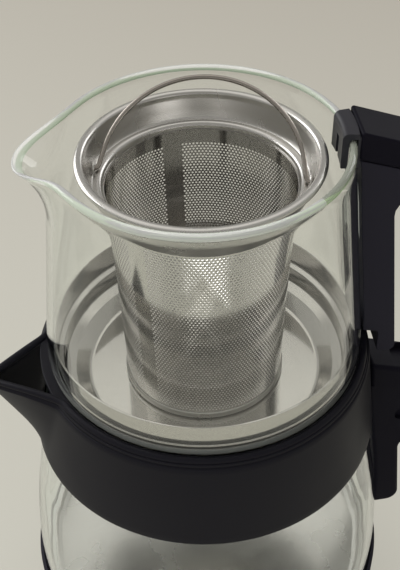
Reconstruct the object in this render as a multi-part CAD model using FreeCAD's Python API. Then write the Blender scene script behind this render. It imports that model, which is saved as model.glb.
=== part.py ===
import FreeCAD, Part
import math
import os

V = FreeCAD.Vector

# Driving dimensions, millimetres and degrees.
# The origin is on the table under the kettle's axis, the spout points to -X, the handles to +X.

# Clearances
loose_gap = 0.3          # between pieces that lift or slide past each other
fit_gap = 0.1            # between pieces that are assembled and stay together
button_gap = 0.4         # round each button in its hole

# Power base
foot_height = 2.5
foot_radius = 8.0
foot_circle = 70.0
base_radius = 89.0
base_draft = 2.0         # how much narrower the base is at its top edge
base_height = 25.0
base_wall = 2.5
base_floor_top = 21.0    # face that carries the kettle
base_lip = 3.2           # width of the raised lip round that face
cover_thickness = 2.0
console_width = 104.0
console_reach = 29.0     # how far the control console stands out in front of the base
console_nose = 12.5      # height of the console's front edge
console_corner = 16.0
gland_radius = 6.0
gland_length = 9.0
gland_bore = 3.4
gland_flange = 0.5       # how far the gland's inner flange stands out round it
gland_height = 11.8

# Controls
button_radius = 7.0
button_rise = 1.6
button_travel = 1.2
button_spacing = 24.0
button_flange = 1.1
panel_wall = 2.2
lens_length = 62.0
lens_width = 2.4
board_thickness = 1.6
switch_height = 2.6
switch_side = 6.0

# Connector between base and kettle
tower_radius = 15.0
tower_height = 12.0
tower_flange = 21.0
contact_pin_radius = 2.0
contact_ring_radius = 9.5
contact_ring_width = 1.2
socket_gap = 0.6
socket_wall = 2.2

# Kettle
kettle_foot_radius = 84.0
kettle_ring_radius = 86.2
kettle_ring_top = 60.0
kettle_ring_wall = 2.4
glass_wall = 2.6
glass_bottom_radius = 83.6
glass_belly_radius = 83.4
glass_belly_share = 0.291   # where the belly is, as a share of the glass's height
glass_mid_radius = 77.4
glass_mid_share = 0.6727
glass_top_radius = 72.0
heater_height = 57.0     # top face of the heater plate
heater_thickness = 1.2
heater_flange = 7.0
element_radius = 50.0
element_tube = 4.5
thermostat_radius = 9.0
thermostat_height = 5.0

# Collar with the spout
seat_height = 193.2      # ledge that carries the pot, above the table
collar_rise = 2.3        # from that ledge up to the collar's rim
collar_height = 45.5
collar_bottom_radius = 75.7
collar_top_radius = 71.8
collar_wall = 2.4
collar_overlap = 12.0    # how far the collar comes down over the glass
bead_radius = 2.0
groove_depth = 0.9
seat_inner_radius = 61.5
seat_outer_radius = 70.4
seat_thickness = 3.0
spout_tip = 94.5
spout_start = 64.6       # distance from the axis where the spout's widest outline begins
spout_mouth = 26.5       # half width there, at the rim
spout_root = 10.0        # the same at the keel's lower end
spout_keel_rise = 3.0    # from the collar's lower edge up to the keel
spout_drop = 4.5
spout_wall = 2.4

# Pot
pot_turn = -4.0          # how far the pot is turned on its seat
pot_glass_height = 98.5
pot_rim_radius = 56.0
pot_waist_radius = 60.6
pot_waist_share = 0.594  # where the waist is, as a share of the glass's height
pot_foot_radius = 67.0
pot_wall = 2.4
lip_reach = 12.4
lip_spread = 12.7
lip_power = 2.4
lip_depth = 24.0
lip_dip = 5.5

# Steel base pan of the pot
pan_drop = 14.2          # from the collar's ledge down to the inner face of the pan's floor
pan_sheet = 0.8
pan_rise = 16.8          # from the ledge up to the pan's rim
pan_floor_radius = 50.0
pan_step_radius = 56.0
pan_step_rise = 5.0
pan_seal = 0.5           # room between the pan and the glass for the seal

# Handles
handle_half_width = 9.0
handle_fillet = 2.0
cap_fillet = 2.0
handle_slope = 17.5
grip_gap = 32.5
grip_thickness = 18.0
post_lean = 0.12         # how much the post leans out for each millimetre down
grip_lean = 0.04
pot_post_thickness = 15.0
pot_arm_depth = 21.5     # from the seam down to the top of the opening
pot_grip_lift = 2.8      # from the collar's ledge up to the end of the grip
pot_post_drop = 8.4      # from the ledge down to the end of the post
pot_cap_height = 12.0
pot_cap_rise = 4.5       # from the glass rim up to the top of the cap
clip_half_width = 8.0
clip_rise = 3.2
clip_drop = 11.5
clip_wall = 2.4
pad_thickness = 0.9
kettle_post_thickness = 18.0
kettle_arm_depth = 40.0
kettle_cap_drop = 25.5   # from the collar's rim down to the top of the cap
kettle_cap_height = 13.5
kettle_grip_lift = 10.0  # from the housing's edge up to the end of the grip
kettle_post_lift = 6.0
kettle_half_width = 10.0
thumb_recess_radius = 8.2
thumb_recess_depth = 4.0
slot_height = 7.0
slot_length = 20.0
slot_depth = 2.5

# Infuser
infuser_turn = -17.0
infuser_rim_radius = 46.6
infuser_drop = 5.6       # from the glass rim down to the infuser's rim
infuser_bead = 1.1
infuser_sheet = 0.6
band_radius = 42.0
band_drop = 12.0         # from the infuser's rim down to the lower edge of its outside band
neck_radius = 37.2
neck_drop = 17.4
cup_belly_share = 0.65
cup_bottom_radius = 33.8
cup_wall = 0.5
cup_base_height = 3.4
cup_base_radius = 34.3
seam_width = 8.0
seam_count = 3
seam_first = 116.6       # where the first plain strip is, from the bail's axis
seam_step = 0.25
bail_radius = 40.0
bail_wire = 0.75
bail_drop = 9.8          # from the infuser's rim down to the bail's pivots
bail_lean = 52.0         # how far the bail is folded back at rest
lug_radius = 2.6
lug_sheet = 0.8

screw_radius = 1.6
screw_head = 3.0
screw_length = 8.0

# Heights that follow from these, above the table
collar_top = seat_height + collar_rise
collar_bottom = collar_top - collar_height
spout_keel_bottom = collar_bottom + spout_keel_rise
pot_foot = seat_height + loose_gap
pot_height = pot_foot + pot_glass_height
pan_floor = seat_height - pan_drop
pan_step_height = pan_floor + pan_step_rise
pan_rim_height = seat_height + pan_rise
pot_cap_top = pot_height + pot_cap_rise
pot_grip_bottom = seat_height + pot_grip_lift
pot_post_bottom = seat_height - pot_post_drop
kettle_cap_top = collar_top - kettle_cap_drop
kettle_grip_bottom = kettle_ring_top + kettle_grip_lift
kettle_post_bottom = kettle_ring_top + kettle_post_lift
infuser_rim_height = pot_height - infuser_drop
band_height = infuser_rim_height - band_drop
neck_bottom = infuser_rim_height - neck_drop
bail_height = infuser_rim_height - bail_drop


# Helpers

def save(shape, name):
    shape.exportStep("parts/" + name + ".step")
    box = shape.BoundBox
    size = "%.1f %.1f %.1f" % (box.XLength, box.YLength, box.ZLength)
    print(name, "solids", len(shape.Solids), "valid", shape.isValid(), "size", size)


def lathe(points):
    """Turns a closed outline of (radius, height) points about the vertical axis."""
    corners = [V(r, 0, z) for r, z in points]
    wire = Part.makePolygon(corners + [corners[0]])
    return Part.Face(wire).revolve(V(0, 0, 0), V(0, 0, 1), 360)


def curve_at(knots, height):
    """Radius of a smooth profile through (radius, height) knots, at one height."""
    spline = Part.BSplineCurve()
    spline.interpolate([V(r, 0, z) for r, z in knots])
    low = spline.FirstParameter
    high = spline.LastParameter
    rising = knots[-1][1] > knots[0][1]
    for step in range(40):
        middle = (low + high) / 2
        below = spline.value(middle).z < height
        if below == rising:
            low = middle
        else:
            high = middle
    return spline.value((low + high) / 2).x


def lathe_shell(knots, wall, bottom, top, steps=10):
    """Turned wall with a smooth outside through the knots and a constant wall thickness."""
    heights = [bottom + (top - bottom) * i / steps for i in range(steps + 1)]
    outer = [V(curve_at(knots, z), 0, z) for z in heights]
    inner = [V(p.x - wall, 0, p.z) for p in outer]
    outside = Part.BSplineCurve()
    outside.interpolate(outer)
    inside = Part.BSplineCurve()
    inside.interpolate(inner)
    edges = [outside.toShape()]
    edges.append(Part.makeLine(outer[-1], inner[-1]))
    edges.append(inside.toShape())
    edges.append(Part.makeLine(inner[0], outer[0]))
    face = Part.Face(Part.Wire(Part.__sortEdges__(edges)))
    return face.revolve(V(0, 0, 0), V(0, 0, 1), 360)


def disc(radius, bottom, top, x=0.0, y=0.0):
    return Part.makeCylinder(radius, top - bottom, V(x, y, bottom))


def ring(outer, inner, bottom, top, x=0.0, y=0.0):
    return disc(outer, bottom, top, x, y).cut(disc(inner, bottom - 1, top + 1, x, y))


def rounded_outline(corners):
    """Closed wire in the XZ plane through (x, z, corner radius) points with tangent arcs."""
    count = len(corners)
    edges = []
    starts = []
    ends = []
    for i in range(count):
        here = V(corners[i][0], 0, corners[i][1])
        before = V(corners[i - 1][0], 0, corners[i - 1][1])
        after_i = (i + 1) % count
        after = V(corners[after_i][0], 0, corners[after_i][1])
        radius = corners[i][2]
        if radius <= 0:
            starts.append(here)
            ends.append(here)
            edges.append(None)
            continue
        back = (before - here).normalize()
        ahead = (after - here).normalize()
        half = back.getAngle(ahead) / 2
        reach = radius / math.tan(half)
        start = here + back * reach
        end = here + ahead * reach
        bisector = (back + ahead).normalize()
        centre = here + bisector * (radius / math.sin(half))
        middle = centre - bisector * radius
        starts.append(start)
        ends.append(end)
        edges.append(Part.Arc(start, middle, end).toShape())
    outline = []
    for i in range(count):
        if edges[i] is not None:
            outline.append(edges[i])
        after_i = (i + 1) % count
        if (starts[after_i] - ends[i]).Length > 1e-6:
            outline.append(Part.makeLine(ends[i], starts[after_i]))
    return Part.Wire(outline)


def slab(corners, half_width):
    """Solid made by pushing a rounded XZ outline to both sides of the symmetry plane."""
    face = Part.Face(rounded_outline(corners))
    face.translate(V(0, -half_width, 0))
    return face.extrude(V(0, 2 * half_width, 0))


def soften_sides(shape, half_width, radius, keep):
    """Rounds the edges of the two flat side faces whose middle passes the keep test."""
    edges = []
    for edge in shape.Edges:
        box = edge.BoundBox
        on_side = box.YLength < 1e-3 and abs(abs(box.YMin) - half_width) < 1e-3
        if on_side and keep(edge.CenterOfMass):
            edges.append(edge)
    return shape.makeFillet(radius, edges)


def turned(shape, angle):
    copy = shape.copy()
    copy.rotate(V(0, 0, 0), V(0, 0, 1), angle)
    return copy


def group(shapes):
    return Part.makeCompound(shapes)


def screw(x, y, head_top, pointing_up):
    """Pan-head screw on a vertical axis; head_top is the outer face of its head."""
    way = 1.0 if pointing_up else -1.0
    head = Part.makeCylinder(screw_head, 1.8, V(x, y, head_top), V(0, 0, way))
    shank = Part.makeCylinder(screw_radius, screw_length, V(x, y, head_top), V(0, 0, way))
    return head.fuse(shank).removeSplitter()


# Power base

console_front = base_radius + console_reach
panel_top = base_height - 1.0
panel_back = base_radius - 6.0
panel_rise = panel_top - console_nose
panel_run = console_front - panel_back
panel_angle = math.degrees(math.atan2(panel_rise, panel_run))
panel_normal = V(0, -math.sin(math.radians(panel_angle)), math.cos(math.radians(panel_angle)))
panel_middle = V(0, -(console_front + panel_back) / 2, (panel_top + console_nose) / 2)


def on_panel(across, up_slope, above):
    """Point on the console's sloping panel, measured from its middle."""
    along = V(0, math.cos(math.radians(panel_angle)), math.sin(math.radians(panel_angle)))
    return panel_middle + V(across, 0, 0) + along * up_slope + panel_normal * above


def console_block(inset, bottom, depth_below_panel):
    """Console body; inset is taken off its front and sides, the panel face is lowered."""
    drop = depth_below_panel / math.cos(math.radians(panel_angle))
    front = console_front - inset
    nose = console_nose - drop + inset * panel_rise / panel_run
    corners = [V(0, -30, bottom), V(0, -front, bottom), V(0, -front, nose)]
    corners.append(V(0, -panel_back, panel_top - drop))
    corners.append(V(0, -30, panel_top - drop))
    wire = Part.makePolygon(corners + [corners[0]])
    half = console_width / 2 - inset
    face = Part.Face(wire)
    face.translate(V(-half, 0, 0))
    block = face.extrude(V(2 * half, 0, 0))
    edges = []
    for edge in block.Edges:
        box = edge.BoundBox
        upright = box.XLength < 1e-3 and box.YLength < 1e-3
        if upright and abs(box.YMin + front) < 1e-3:
            edges.append(edge)
    return block.makeFillet(console_corner - inset, edges)


def base_skin(inset, bottom, top):
    radius = base_radius - inset
    edge = radius - base_draft
    step = 1.5
    points = [(0, bottom), (radius, bottom), (edge + 0.5, top - step), (edge - step, top), (0, top)]
    return lathe(points)


shell_bottom = foot_height + 0.5
recess_radius = base_radius - base_draft - base_lip
base_shell = base_skin(0, shell_bottom, base_height)
base_shell = base_shell.fuse(console_block(0, shell_bottom, 0))
recess = disc(recess_radius, base_floor_top, base_height + 5)
base_shell = base_shell.cut(recess)
floor_under = base_floor_top - base_wall
inner_puck = disc(base_radius - base_draft - base_wall, shell_bottom - 1, floor_under)
inner_console = console_block(base_wall, shell_bottom - 1, panel_wall)
keep_floor = disc(recess_radius, floor_under, base_height + 5)
base_shell = base_shell.cut(inner_puck.fuse(inner_console.cut(keep_floor)))
base_shell = base_shell.cut(disc(tower_radius + fit_gap, floor_under - 1, base_floor_top + 1))
button_places = [(-button_spacing, "boil"), (0.0, "brew"), (button_spacing, "keep_warm")]
button_row = -2.5
lens_row = 8.0
for across, name in button_places:
    hole_start = on_panel(across, button_row, -panel_wall - 6)
    hole = Part.makeCylinder(button_radius + button_gap, panel_wall + 12, hole_start, panel_normal)
    base_shell = base_shell.cut(hole)
lens_slot = Part.makeBox(lens_length, lens_width, 6, V(-lens_length / 2, -lens_width / 2, -3))
lens_slot.rotate(V(0, 0, 0), V(1, 0, 0), panel_angle)
lens_slot.translate(on_panel(0, lens_row, 0))
base_shell = base_shell.cut(lens_slot)
gland_axis = V(0, 1, 0)
gland_seat = V(0, base_radius - 8, gland_height)
base_shell = base_shell.cut(Part.makeCylinder(gland_radius + fit_gap, 20, gland_seat, gland_axis))
screw_places = []
for i in range(4):
    angle = math.radians(45 + 90 * i)
    screw_places.append((52 * math.cos(angle), 52 * math.sin(angle)))
cover_top = shell_bottom + cover_thickness
for x, y in screw_places:
    boss = ring(4.0, screw_radius, cover_top, floor_under, x, y)
    base_shell = base_shell.fuse(boss)
save(base_shell, "base_shell")

cover = disc(base_radius - base_draft - base_wall - fit_gap, shell_bottom, cover_top)
cover = cover.fuse(console_block(base_wall + fit_gap, shell_bottom, panel_wall + 2))
cover = cover.cut(disc(console_front + console_width, cover_top, cover_top + base_height))
for x, y in screw_places:
    cover = cover.cut(disc(screw_radius + fit_gap, 0, 20, x, y))
foot_places = [(0.0, 0.0)]
for i in range(4):
    angle = math.radians(90 * i)
    foot_places.append((foot_circle * math.cos(angle), foot_circle * math.sin(angle)))
foot_places.append((console_width / 2 - 18, -console_front + 14))
foot_places.append((-console_width / 2 + 18, -console_front + 14))
save(cover.removeSplitter(), "base_cover")

feet = []
for x, y in foot_places:
    foot = Part.makeCone(foot_radius - 0.8, foot_radius, shell_bottom, V(x, y, 0))
    feet.append(foot)
save(group(feet), "rubber_feet")

screws = []
for x, y in screw_places:
    screws.append(screw(x, y, shell_bottom - 1.8, True))
save(group(screws), "base_screws")

gland = Part.makeCylinder(gland_radius, gland_length, gland_seat + V(0, 1.5, 0), gland_axis)
flange_start = gland_seat + V(0, fit_gap, 0)
gland = gland.fuse(Part.makeCylinder(gland_radius + gland_flange, 1.4, flange_start, gland_axis))
gland_cut = Part.makeCylinder(gland_bore, 40, gland_seat - V(0, 2, 0), gland_axis)
save(gland.cut(gland_cut).removeSplitter(), "cord_gland")

tower_top = base_floor_top + tower_height
tower = disc(tower_radius, floor_under - 0.5, tower_top)
tower = tower.fuse(disc(tower_flange, floor_under - 2.5, floor_under))
tower = tower.cut(disc(contact_pin_radius + 2.0, base_floor_top, tower_top + 1))
groove = ring(contact_ring_radius + 2, contact_ring_radius - 2, base_floor_top, tower_top + 1)
tower = tower.cut(groove)
save(tower.removeSplitter(), "base_connector")

pin = disc(contact_pin_radius, base_floor_top, tower_top - 2)
contact = ring(contact_ring_radius + contact_ring_width / 2, contact_ring_radius
               - contact_ring_width / 2, base_floor_top, tower_top - 4)
save(group([pin, contact]), "base_contacts")

# Controls: board, switches, buttons and the light strip

button_stem = panel_wall + 1.5
board_depth = button_stem + button_travel + loose_gap + switch_height
board = Part.makeBox(button_spacing * 2 + 26, 17, board_thickness)
board.translate(V(-button_spacing - 13, -8.5, -board_thickness))
board.rotate(V(0, 0, 0), V(1, 0, 0), panel_angle)
board.translate(on_panel(0, button_row, -board_depth))
board_posts = []
for across in (-button_spacing - 11, button_spacing + 11):
    start = on_panel(across, button_row, -board_depth)
    board_posts.append(Part.makeCylinder(1.8, board_depth - panel_wall, start, panel_normal))
save(board.fuse(board_posts).removeSplitter(), "control_board")

switches = []
for across, name in button_places:
    body = Part.makeBox(switch_side, switch_side, switch_height - 1)
    body.translate(V(-switch_side / 2, -switch_side / 2, 0))
    body.rotate(V(0, 0, 0), V(1, 0, 0), panel_angle)
    body.translate(on_panel(across, button_row, -board_depth))
    tip = Part.makeCylinder(1.7, switch_height, on_panel(across, button_row, -board_depth), panel_normal)
    switches.append(body.fuse(tip).removeSplitter())
save(group(switches), "tact_switches")

for across, name in button_places:
    start = on_panel(across, button_row, -panel_wall - 1)
    cap = Part.makeCylinder(button_radius, panel_wall + 1 + button_rise, start, panel_normal)
    top_edge = [e for e in cap.Edges if (e.CenterOfMass - start).dot(panel_normal) > panel_wall + 1]
    cap = cap.makeFillet(0.6, top_edge[:1])
    flange_start = on_panel(across, button_row, -panel_wall - loose_gap - button_flange)
    flange = Part.makeCylinder(button_radius + 1.2, button_flange, flange_start, panel_normal)
    stem_start = on_panel(across, button_row, -button_stem)
    stem = Part.makeCylinder(2.0, button_stem, stem_start, panel_normal)
    save(cap.fuse([flange, stem]).removeSplitter(), "button_" + name)

lens = Part.makeBox(lens_length - 0.2, lens_width - 0.2, panel_wall + 0.6)
lens.translate(V(-lens_length / 2 + 0.1, -lens_width / 2 + 0.1, -panel_wall - 0.4))
lens.rotate(V(0, 0, 0), V(1, 0, 0), panel_angle)
lens.translate(on_panel(0, lens_row, 0))
save(lens, "light_strip")

# Kettle: housing, heater and glass

kettle_bottom = base_floor_top + loose_gap
glass_foot = heater_height - 5.0
glass_top = collar_bottom + collar_overlap
glass_run = glass_top - glass_foot
kettle_knots = [(glass_bottom_radius, glass_foot)]
kettle_knots.append((glass_belly_radius, glass_foot + glass_belly_share * glass_run))
kettle_knots.append((glass_mid_radius, glass_foot + glass_mid_share * glass_run))
kettle_knots.append((glass_top_radius, glass_top))
kettle_glass = lathe_shell(kettle_knots, glass_wall, glass_foot, glass_top)
save(kettle_glass, "kettle_glass")

foot_outer = min(kettle_foot_radius, recess_radius - 0.8)
ring_inner = max(glass_bottom_radius, curve_at(kettle_knots, kettle_ring_top)) + fit_gap
housing = lathe([
    (foot_outer - 4.0, kettle_bottom), (foot_outer - 1.0, kettle_bottom),
    (foot_outer, kettle_bottom + 1.0), (foot_outer + 0.2, base_height + 1.0),
    (kettle_ring_radius, base_height + 6.0), (kettle_ring_radius, kettle_ring_top - 1.2),
    (kettle_ring_radius - 1.2, kettle_ring_top), (ring_inner, kettle_ring_top),
    (ring_inner, glass_foot - fit_gap), (glass_bottom_radius - glass_wall - 6.0, glass_foot - fit_gap),
    (glass_bottom_radius - glass_wall - 6.0, glass_foot - 2.4),
    (kettle_ring_radius - kettle_ring_wall, glass_foot - 2.4),
    (kettle_ring_radius - kettle_ring_wall, base_height + 8.0),
    (foot_outer - kettle_ring_wall, base_height + 3.0),
    (foot_outer - kettle_ring_wall, kettle_bottom + 2.6), (foot_outer - 4.0, kettle_bottom + 2.6)])
save(housing, "kettle_housing")

plate_radius = glass_bottom_radius - glass_wall - 2.2
plate_low = heater_height - heater_thickness
plate = lathe([
    (0, plate_low), (plate_radius - 3.0, plate_low), (plate_radius - heater_thickness, plate_low - 1.5),
    (plate_radius, plate_low - 1.5), (plate_radius, heater_height + heater_flange),
    (plate_radius - heater_thickness, heater_height + heater_flange),
    (plate_radius - heater_thickness, heater_height + 1.5),
    (plate_radius - 3.0, heater_height), (0, heater_height)])
save(plate, "heater_plate")

gasket_inner = plate_radius + 0.05
gasket_outer = glass_bottom_radius - glass_wall - 0.3
gasket = lathe([
    (gasket_inner, glass_foot), (gasket_outer, glass_foot),
    (gasket_outer, heater_height + heater_flange - 1.0),
    (gasket_inner, heater_height + heater_flange - 1.0)])
save(gasket, "heater_gasket")

element = Part.makeTorus(element_radius, element_tube, V(0, 0, plate_low - element_tube + 0.6))
element = element.cut(Part.makeBox(24, 30, 30, V(element_radius - 12, -15, plate_low - 25)))
flat_top = disc(element_radius + 2 * element_tube, plate_low - 0.02, plate_low + 2 * element_tube)
element = element.cut(flat_top)
save(element, "heating_element")

thermostat = disc(thermostat_radius, plate_low - thermostat_height, plate_low - 0.02, 26.0, 0.0)
tab = Part.makeBox(8, 1, 6, V(22, -thermostat_radius - 0.4, plate_low - thermostat_height - 5))
save(thermostat.fuse(tab).removeSplitter(), "thermostat")

socket_radius = tower_radius + socket_gap
socket_top = tower_top + 1.5
socket_outer = socket_radius + socket_wall
socket = disc(socket_outer, kettle_bottom, socket_top + 2.2)
socket = socket.fuse(disc(socket_outer + 3.5, kettle_bottom + 2.7, kettle_bottom + 4.7))
socket = socket.cut(disc(socket_radius, kettle_bottom - 1, socket_top))
save(socket.removeSplitter(), "kettle_socket")

sleeve = ring(contact_pin_radius + 1.2, contact_pin_radius + loose_gap, tower_top - 6, socket_top)
blade = ring(contact_ring_radius + 1.7, contact_ring_radius + 1.1, tower_top - 7, socket_top)
save(group([sleeve, blade]), "socket_contacts")

under_outer = foot_outer - kettle_ring_wall - fit_gap
under = ring(under_outer, socket_outer + fit_gap, kettle_bottom + 0.6, kettle_bottom + 2.6)
under = under.cut(ring(2 * base_radius, foot_outer - 4.0 - fit_gap, 0, kettle_bottom + 2.6 + fit_gap))
under_places = []
for i in range(3):
    angle = math.radians(60 + 120 * i)
    under_places.append((60 * math.cos(angle), 60 * math.sin(angle)))
for x, y in under_places:
    under = under.cut(disc(screw_radius + fit_gap, 0, 40, x, y))
    under = under.cut(disc(screw_head + 0.3, kettle_bottom, kettle_bottom + 1.8, x, y))
save(under.removeSplitter(), "kettle_cover")

screws = []
for x, y in under_places:
    head = disc(screw_head, kettle_bottom + 0.4, kettle_bottom + 1.8, x, y)
    shank = disc(screw_radius, kettle_bottom + 1.8, kettle_bottom + 12, x, y)
    screws.append(head.fuse(shank).removeSplitter())
save(group(screws), "kettle_screws")

# Collar: turned wall, open beak and the seat that carries the pot


def collar_outer(height):
    span = (height - collar_bottom) / (collar_top - 5.0 - collar_bottom)
    return collar_bottom_radius + (collar_top_radius - collar_bottom_radius) * span


neck = collar_top - 5.0
glass_seat = glass_top + fit_gap
glass_pocket = glass_top_radius + fit_gap
skirt = curve_at(kettle_knots, collar_bottom) + fit_gap
wall_top_inner = collar_top_radius - collar_wall
wall = lathe([
    (skirt, collar_bottom), (collar_bottom_radius - 0.6, collar_bottom),
    (collar_bottom_radius, collar_bottom + 0.6), (collar_outer(neck), neck),
    (collar_outer(neck) - groove_depth, neck), (collar_outer(neck) - groove_depth, neck + 1.0),
    (wall_top_inner, neck + 1.0), (wall_top_inner, neck - 3.0),
    (glass_pocket - glass_wall - 0.6, glass_seat + 2.0),
    (glass_pocket - glass_wall - 0.6, glass_seat), (glass_pocket, glass_seat)])
bead_centre = collar_outer(neck) - 0.4
bead_ring = Part.makeTorus(bead_centre, bead_radius, V(0, 0, collar_top - bead_radius))
bead_stem = ring(bead_centre + 0.6, wall_top_inner, neck + 0.4, collar_top - bead_radius)
wall = wall.fuse([bead_ring, bead_stem])


spout_shape = [(0.06, 0.864), (0.15, 0.762), (0.35, 0.638), (0.62, 0.5), (0.76, 0.404), (0.91, 0.236)]


def beak(inset, bottom, top, inner_end):
    """Open spout as a loft of rounded beak outlines that shrink towards the keel."""
    sections = []
    for i in range(4):
        height = bottom + (top - bottom) * i / 3.0
        level = (height - spout_keel_bottom) / (collar_top - spout_keel_bottom)
        root = collar_bottom_radius + 0.5
        tip = root + (spout_tip - root) * level ** 0.9 - inset
        mouth = spout_root + (spout_mouth - spout_root) * level - inset
        start = V(-spout_start, mouth, height)
        reach = tip - spout_start
        points = [start]
        for along, wide in spout_shape:
            points.append(V(-spout_start - reach * along, mouth * wide, height))
        points.append(V(-tip, 0, height))
        for point in reversed(points[:-1]):
            points.append(V(point.x, -point.y, height))
        spline = Part.BSplineCurve()
        spline.interpolate(points)
        near = V(-inner_end, mouth, height)
        far = V(-inner_end, -mouth, height)
        edges = [Part.makeLine(near, points[0]), spline.toShape()]
        edges.append(Part.makeLine(points[-1], far))
        edges.append(Part.makeLine(far, near))
        sections.append(Part.Wire(edges))
    return Part.makeLoft(sections, True, False)


beak_outside = beak(0.0, spout_keel_bottom, collar_top + 1.0, 58.0)
beak_inside = beak(spout_wall, spout_keel_bottom + 4.0, collar_top + 3.0, 55.0)
below = collar_bottom - collar_height
inside_space = lathe([
    (0, below), (glass_pocket - glass_wall - 0.6, below),
    (glass_pocket - glass_wall - 0.6, glass_seat + 2.0),
    (wall_top_inner, neck - 3.0), (wall_top_inner, collar_top + 10), (0, collar_top + 10)])
pocket = lathe([
    (0, below), (skirt, below), (skirt, collar_bottom), (glass_pocket, glass_seat), (0, glass_seat)])
slope = math.degrees(math.atan2(spout_drop, spout_tip - collar_top_radius + 6.0))
above_lip = Part.makeBox(80, 120, 30, V(-80, -60, 0))
above_lip.rotate(V(0, 0, 0), V(0, 1, 0), -slope)
above_lip.translate(V(-collar_top_radius + 6.0, 0, collar_top - 0.2))
collar = wall.fuse(beak_outside.cut(above_lip)).cut(beak_inside)
collar = collar.cut(inside_space.fuse(pocket))
seat = lathe([
    (seat_inner_radius, seat_height - seat_thickness), (wall_top_inner + 0.6, seat_height - seat_thickness),
    (wall_top_inner + 0.6, seat_height), (seat_inner_radius + 0.8, seat_height),
    (seat_inner_radius, seat_height - 0.8)])
seat = seat.cut(beak_inside.cut(disc(pot_foot_radius + 0.9, below, pot_height)))
collar = collar.fuse(seat).removeSplitter()
save(collar, "kettle_collar")

seal_face = glass_top_radius - glass_wall - 0.05
lip_seal = ring(seal_face, seal_face - 0.85, glass_top - 6.0, glass_top)
save(lip_seal, "collar_seal")

# Handles share one way of building: an upright post, a sloping arm and a grip, open below


def fall(distance):
    return distance * math.tan(math.radians(handle_slope))


def handle_body(post_in, seam_at, seam_height, arm_depth, post_thick, post_bottom, grip_bottom,
                half_width, lower_in, end_round):
    """Outline under the seam: inner post edge as given points, arm, then the grip."""
    opening_top = seam_height - arm_depth
    post_out_top = seam_at + post_thick
    post_out_low = post_out_top + (opening_top - post_bottom) * post_lean
    grip_in_top = post_out_top + grip_gap
    grip_in_low = grip_in_top + (opening_top - grip_bottom) * grip_lean
    grip_out_low = grip_in_low + grip_thickness
    grip_out_top = grip_in_top + grip_thickness
    seam_end = seam_height - fall(grip_out_top - seam_at)
    under_drop = fall(grip_gap) * 0.5
    corners = list(post_in)
    corners.append((lower_in, post_bottom, 2.2))
    corners.append((post_out_low, post_bottom, end_round))
    corners.append((post_out_top, opening_top, 7.0))
    corners.append((grip_in_top, opening_top - under_drop, 9.0))
    corners.append((grip_in_low, grip_bottom, 6.0))
    corners.append((grip_out_low, grip_bottom, 6.0))
    corners.append((grip_out_top, seam_end, 0.0))
    corners.append((seam_at, seam_height, 0.0))
    body = slab(corners, half_width)
    outline = [(grip_out_top, seam_end), (grip_out_low, grip_bottom)]
    return body, outline


def handle_cap(start, start_height, seam_at, seam_height, end_at, cap_height, half_width):
    """Cover over the arm; it ends in a rounded nose over the grip."""
    end_height = seam_height - fall(end_at - seam_at)
    top_end = start_height - fall(end_at - start)
    corners = [
        (seam_at, seam_height, 0.0), (end_at, end_height, 0.0),
        (end_at - 1.0, top_end - 1.0, min(9.0, cap_height * 0.7)), (start, start_height, 1.5)]
    return slab(corners, half_width)


# Pot handle
pot_rim_outer = pot_rim_radius + 0.9
seam_at = pot_rim_outer + 0.6
pot_seam = pot_cap_top - pot_cap_height
pot_seam_low = pot_seam - 1.0


pot_knots = [(pot_foot_radius, pot_foot), (pot_foot_radius - 0.4, pot_foot + 0.12 * pot_glass_height)]
pot_knots.append((pot_waist_radius, pot_foot + pot_waist_share * pot_glass_height))
pot_knots.append((pot_rim_radius, pot_height))


def pot_outer(height):
    return curve_at(pot_knots, height)


clear_bead = bead_centre + bead_radius + 0.8
step_out = collar_top + 1.5
pot_post_in = [(seam_at, pot_seam_low - 4.0, 0.0)]
pot_post_in.append((pot_outer(step_out + 6.0) - 3.0, step_out + 6.0, 0.0))
pot_post_in.append((clear_bead, step_out, 3.0))
pot_body, pot_outline = handle_body(
    pot_post_in, seam_at, pot_seam, pot_arm_depth, pot_post_thickness, pot_post_bottom,
    pot_grip_bottom, handle_half_width, clear_bead + 0.2, 3.2)
pot_end = pot_outline[0][0]
pot_body = soften_sides(
    pot_body, handle_half_width, handle_fillet,
    lambda p: p.x > pot_outer(p.z) + 5.0 and p.z < pot_seam - fall(p.x - seam_at) - 2.0)
pad_knots = [(r + pad_thickness, z) for r, z in pot_knots]
glass_space = lathe_shell(pad_knots, pot_foot_radius / 2, pot_foot, pot_height)
pot_body = pot_body.cut(glass_space)
pot_cap = handle_cap(
    seam_at, pot_cap_top, seam_at, pot_seam, pot_end, pot_cap_height, handle_half_width)
pot_cap = soften_sides(
    pot_cap, handle_half_width, cap_fillet,
    lambda p: p.x > seam_at + 1.0 and p.z > pot_seam - fall(p.x - seam_at) + 1.0)

# Rim clip: an arch over the glass rim, slotted inside, held by a tongue under the cap
clip_in = pot_rim_radius - pot_wall - 1.0 - clip_wall
clip_top = pot_height + clip_rise
under_arch = pot_height + 0.9
arch_step = clip_top - 1.6
leg_in = pot_rim_outer + fit_gap
leg_out = leg_in + 2.4
tongue_end = seam_at + 7.0
tongue_top = pot_seam - fall(tongue_end - seam_at) - fit_gap
tongue_low = tongue_top - 2.0
clip_corners = [
    (clip_in, pot_height - clip_drop, 0.8), (clip_in + clip_wall, pot_height - clip_drop, 0.6),
    (clip_in + clip_wall, under_arch, 0.8), (leg_in, under_arch, 0.0),
    (leg_in, tongue_low, 0.0), (tongue_end, tongue_low, 0.0), (tongue_end, tongue_top, 0.0),
    (leg_out, tongue_top, 0.0), (leg_out, arch_step, 0.0), (seam_at - fit_gap, arch_step, 0.0),
    (seam_at - fit_gap, clip_top, 0.0), (clip_in, clip_top, 2.6)]
rim_clip = slab(clip_corners, clip_half_width)
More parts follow.
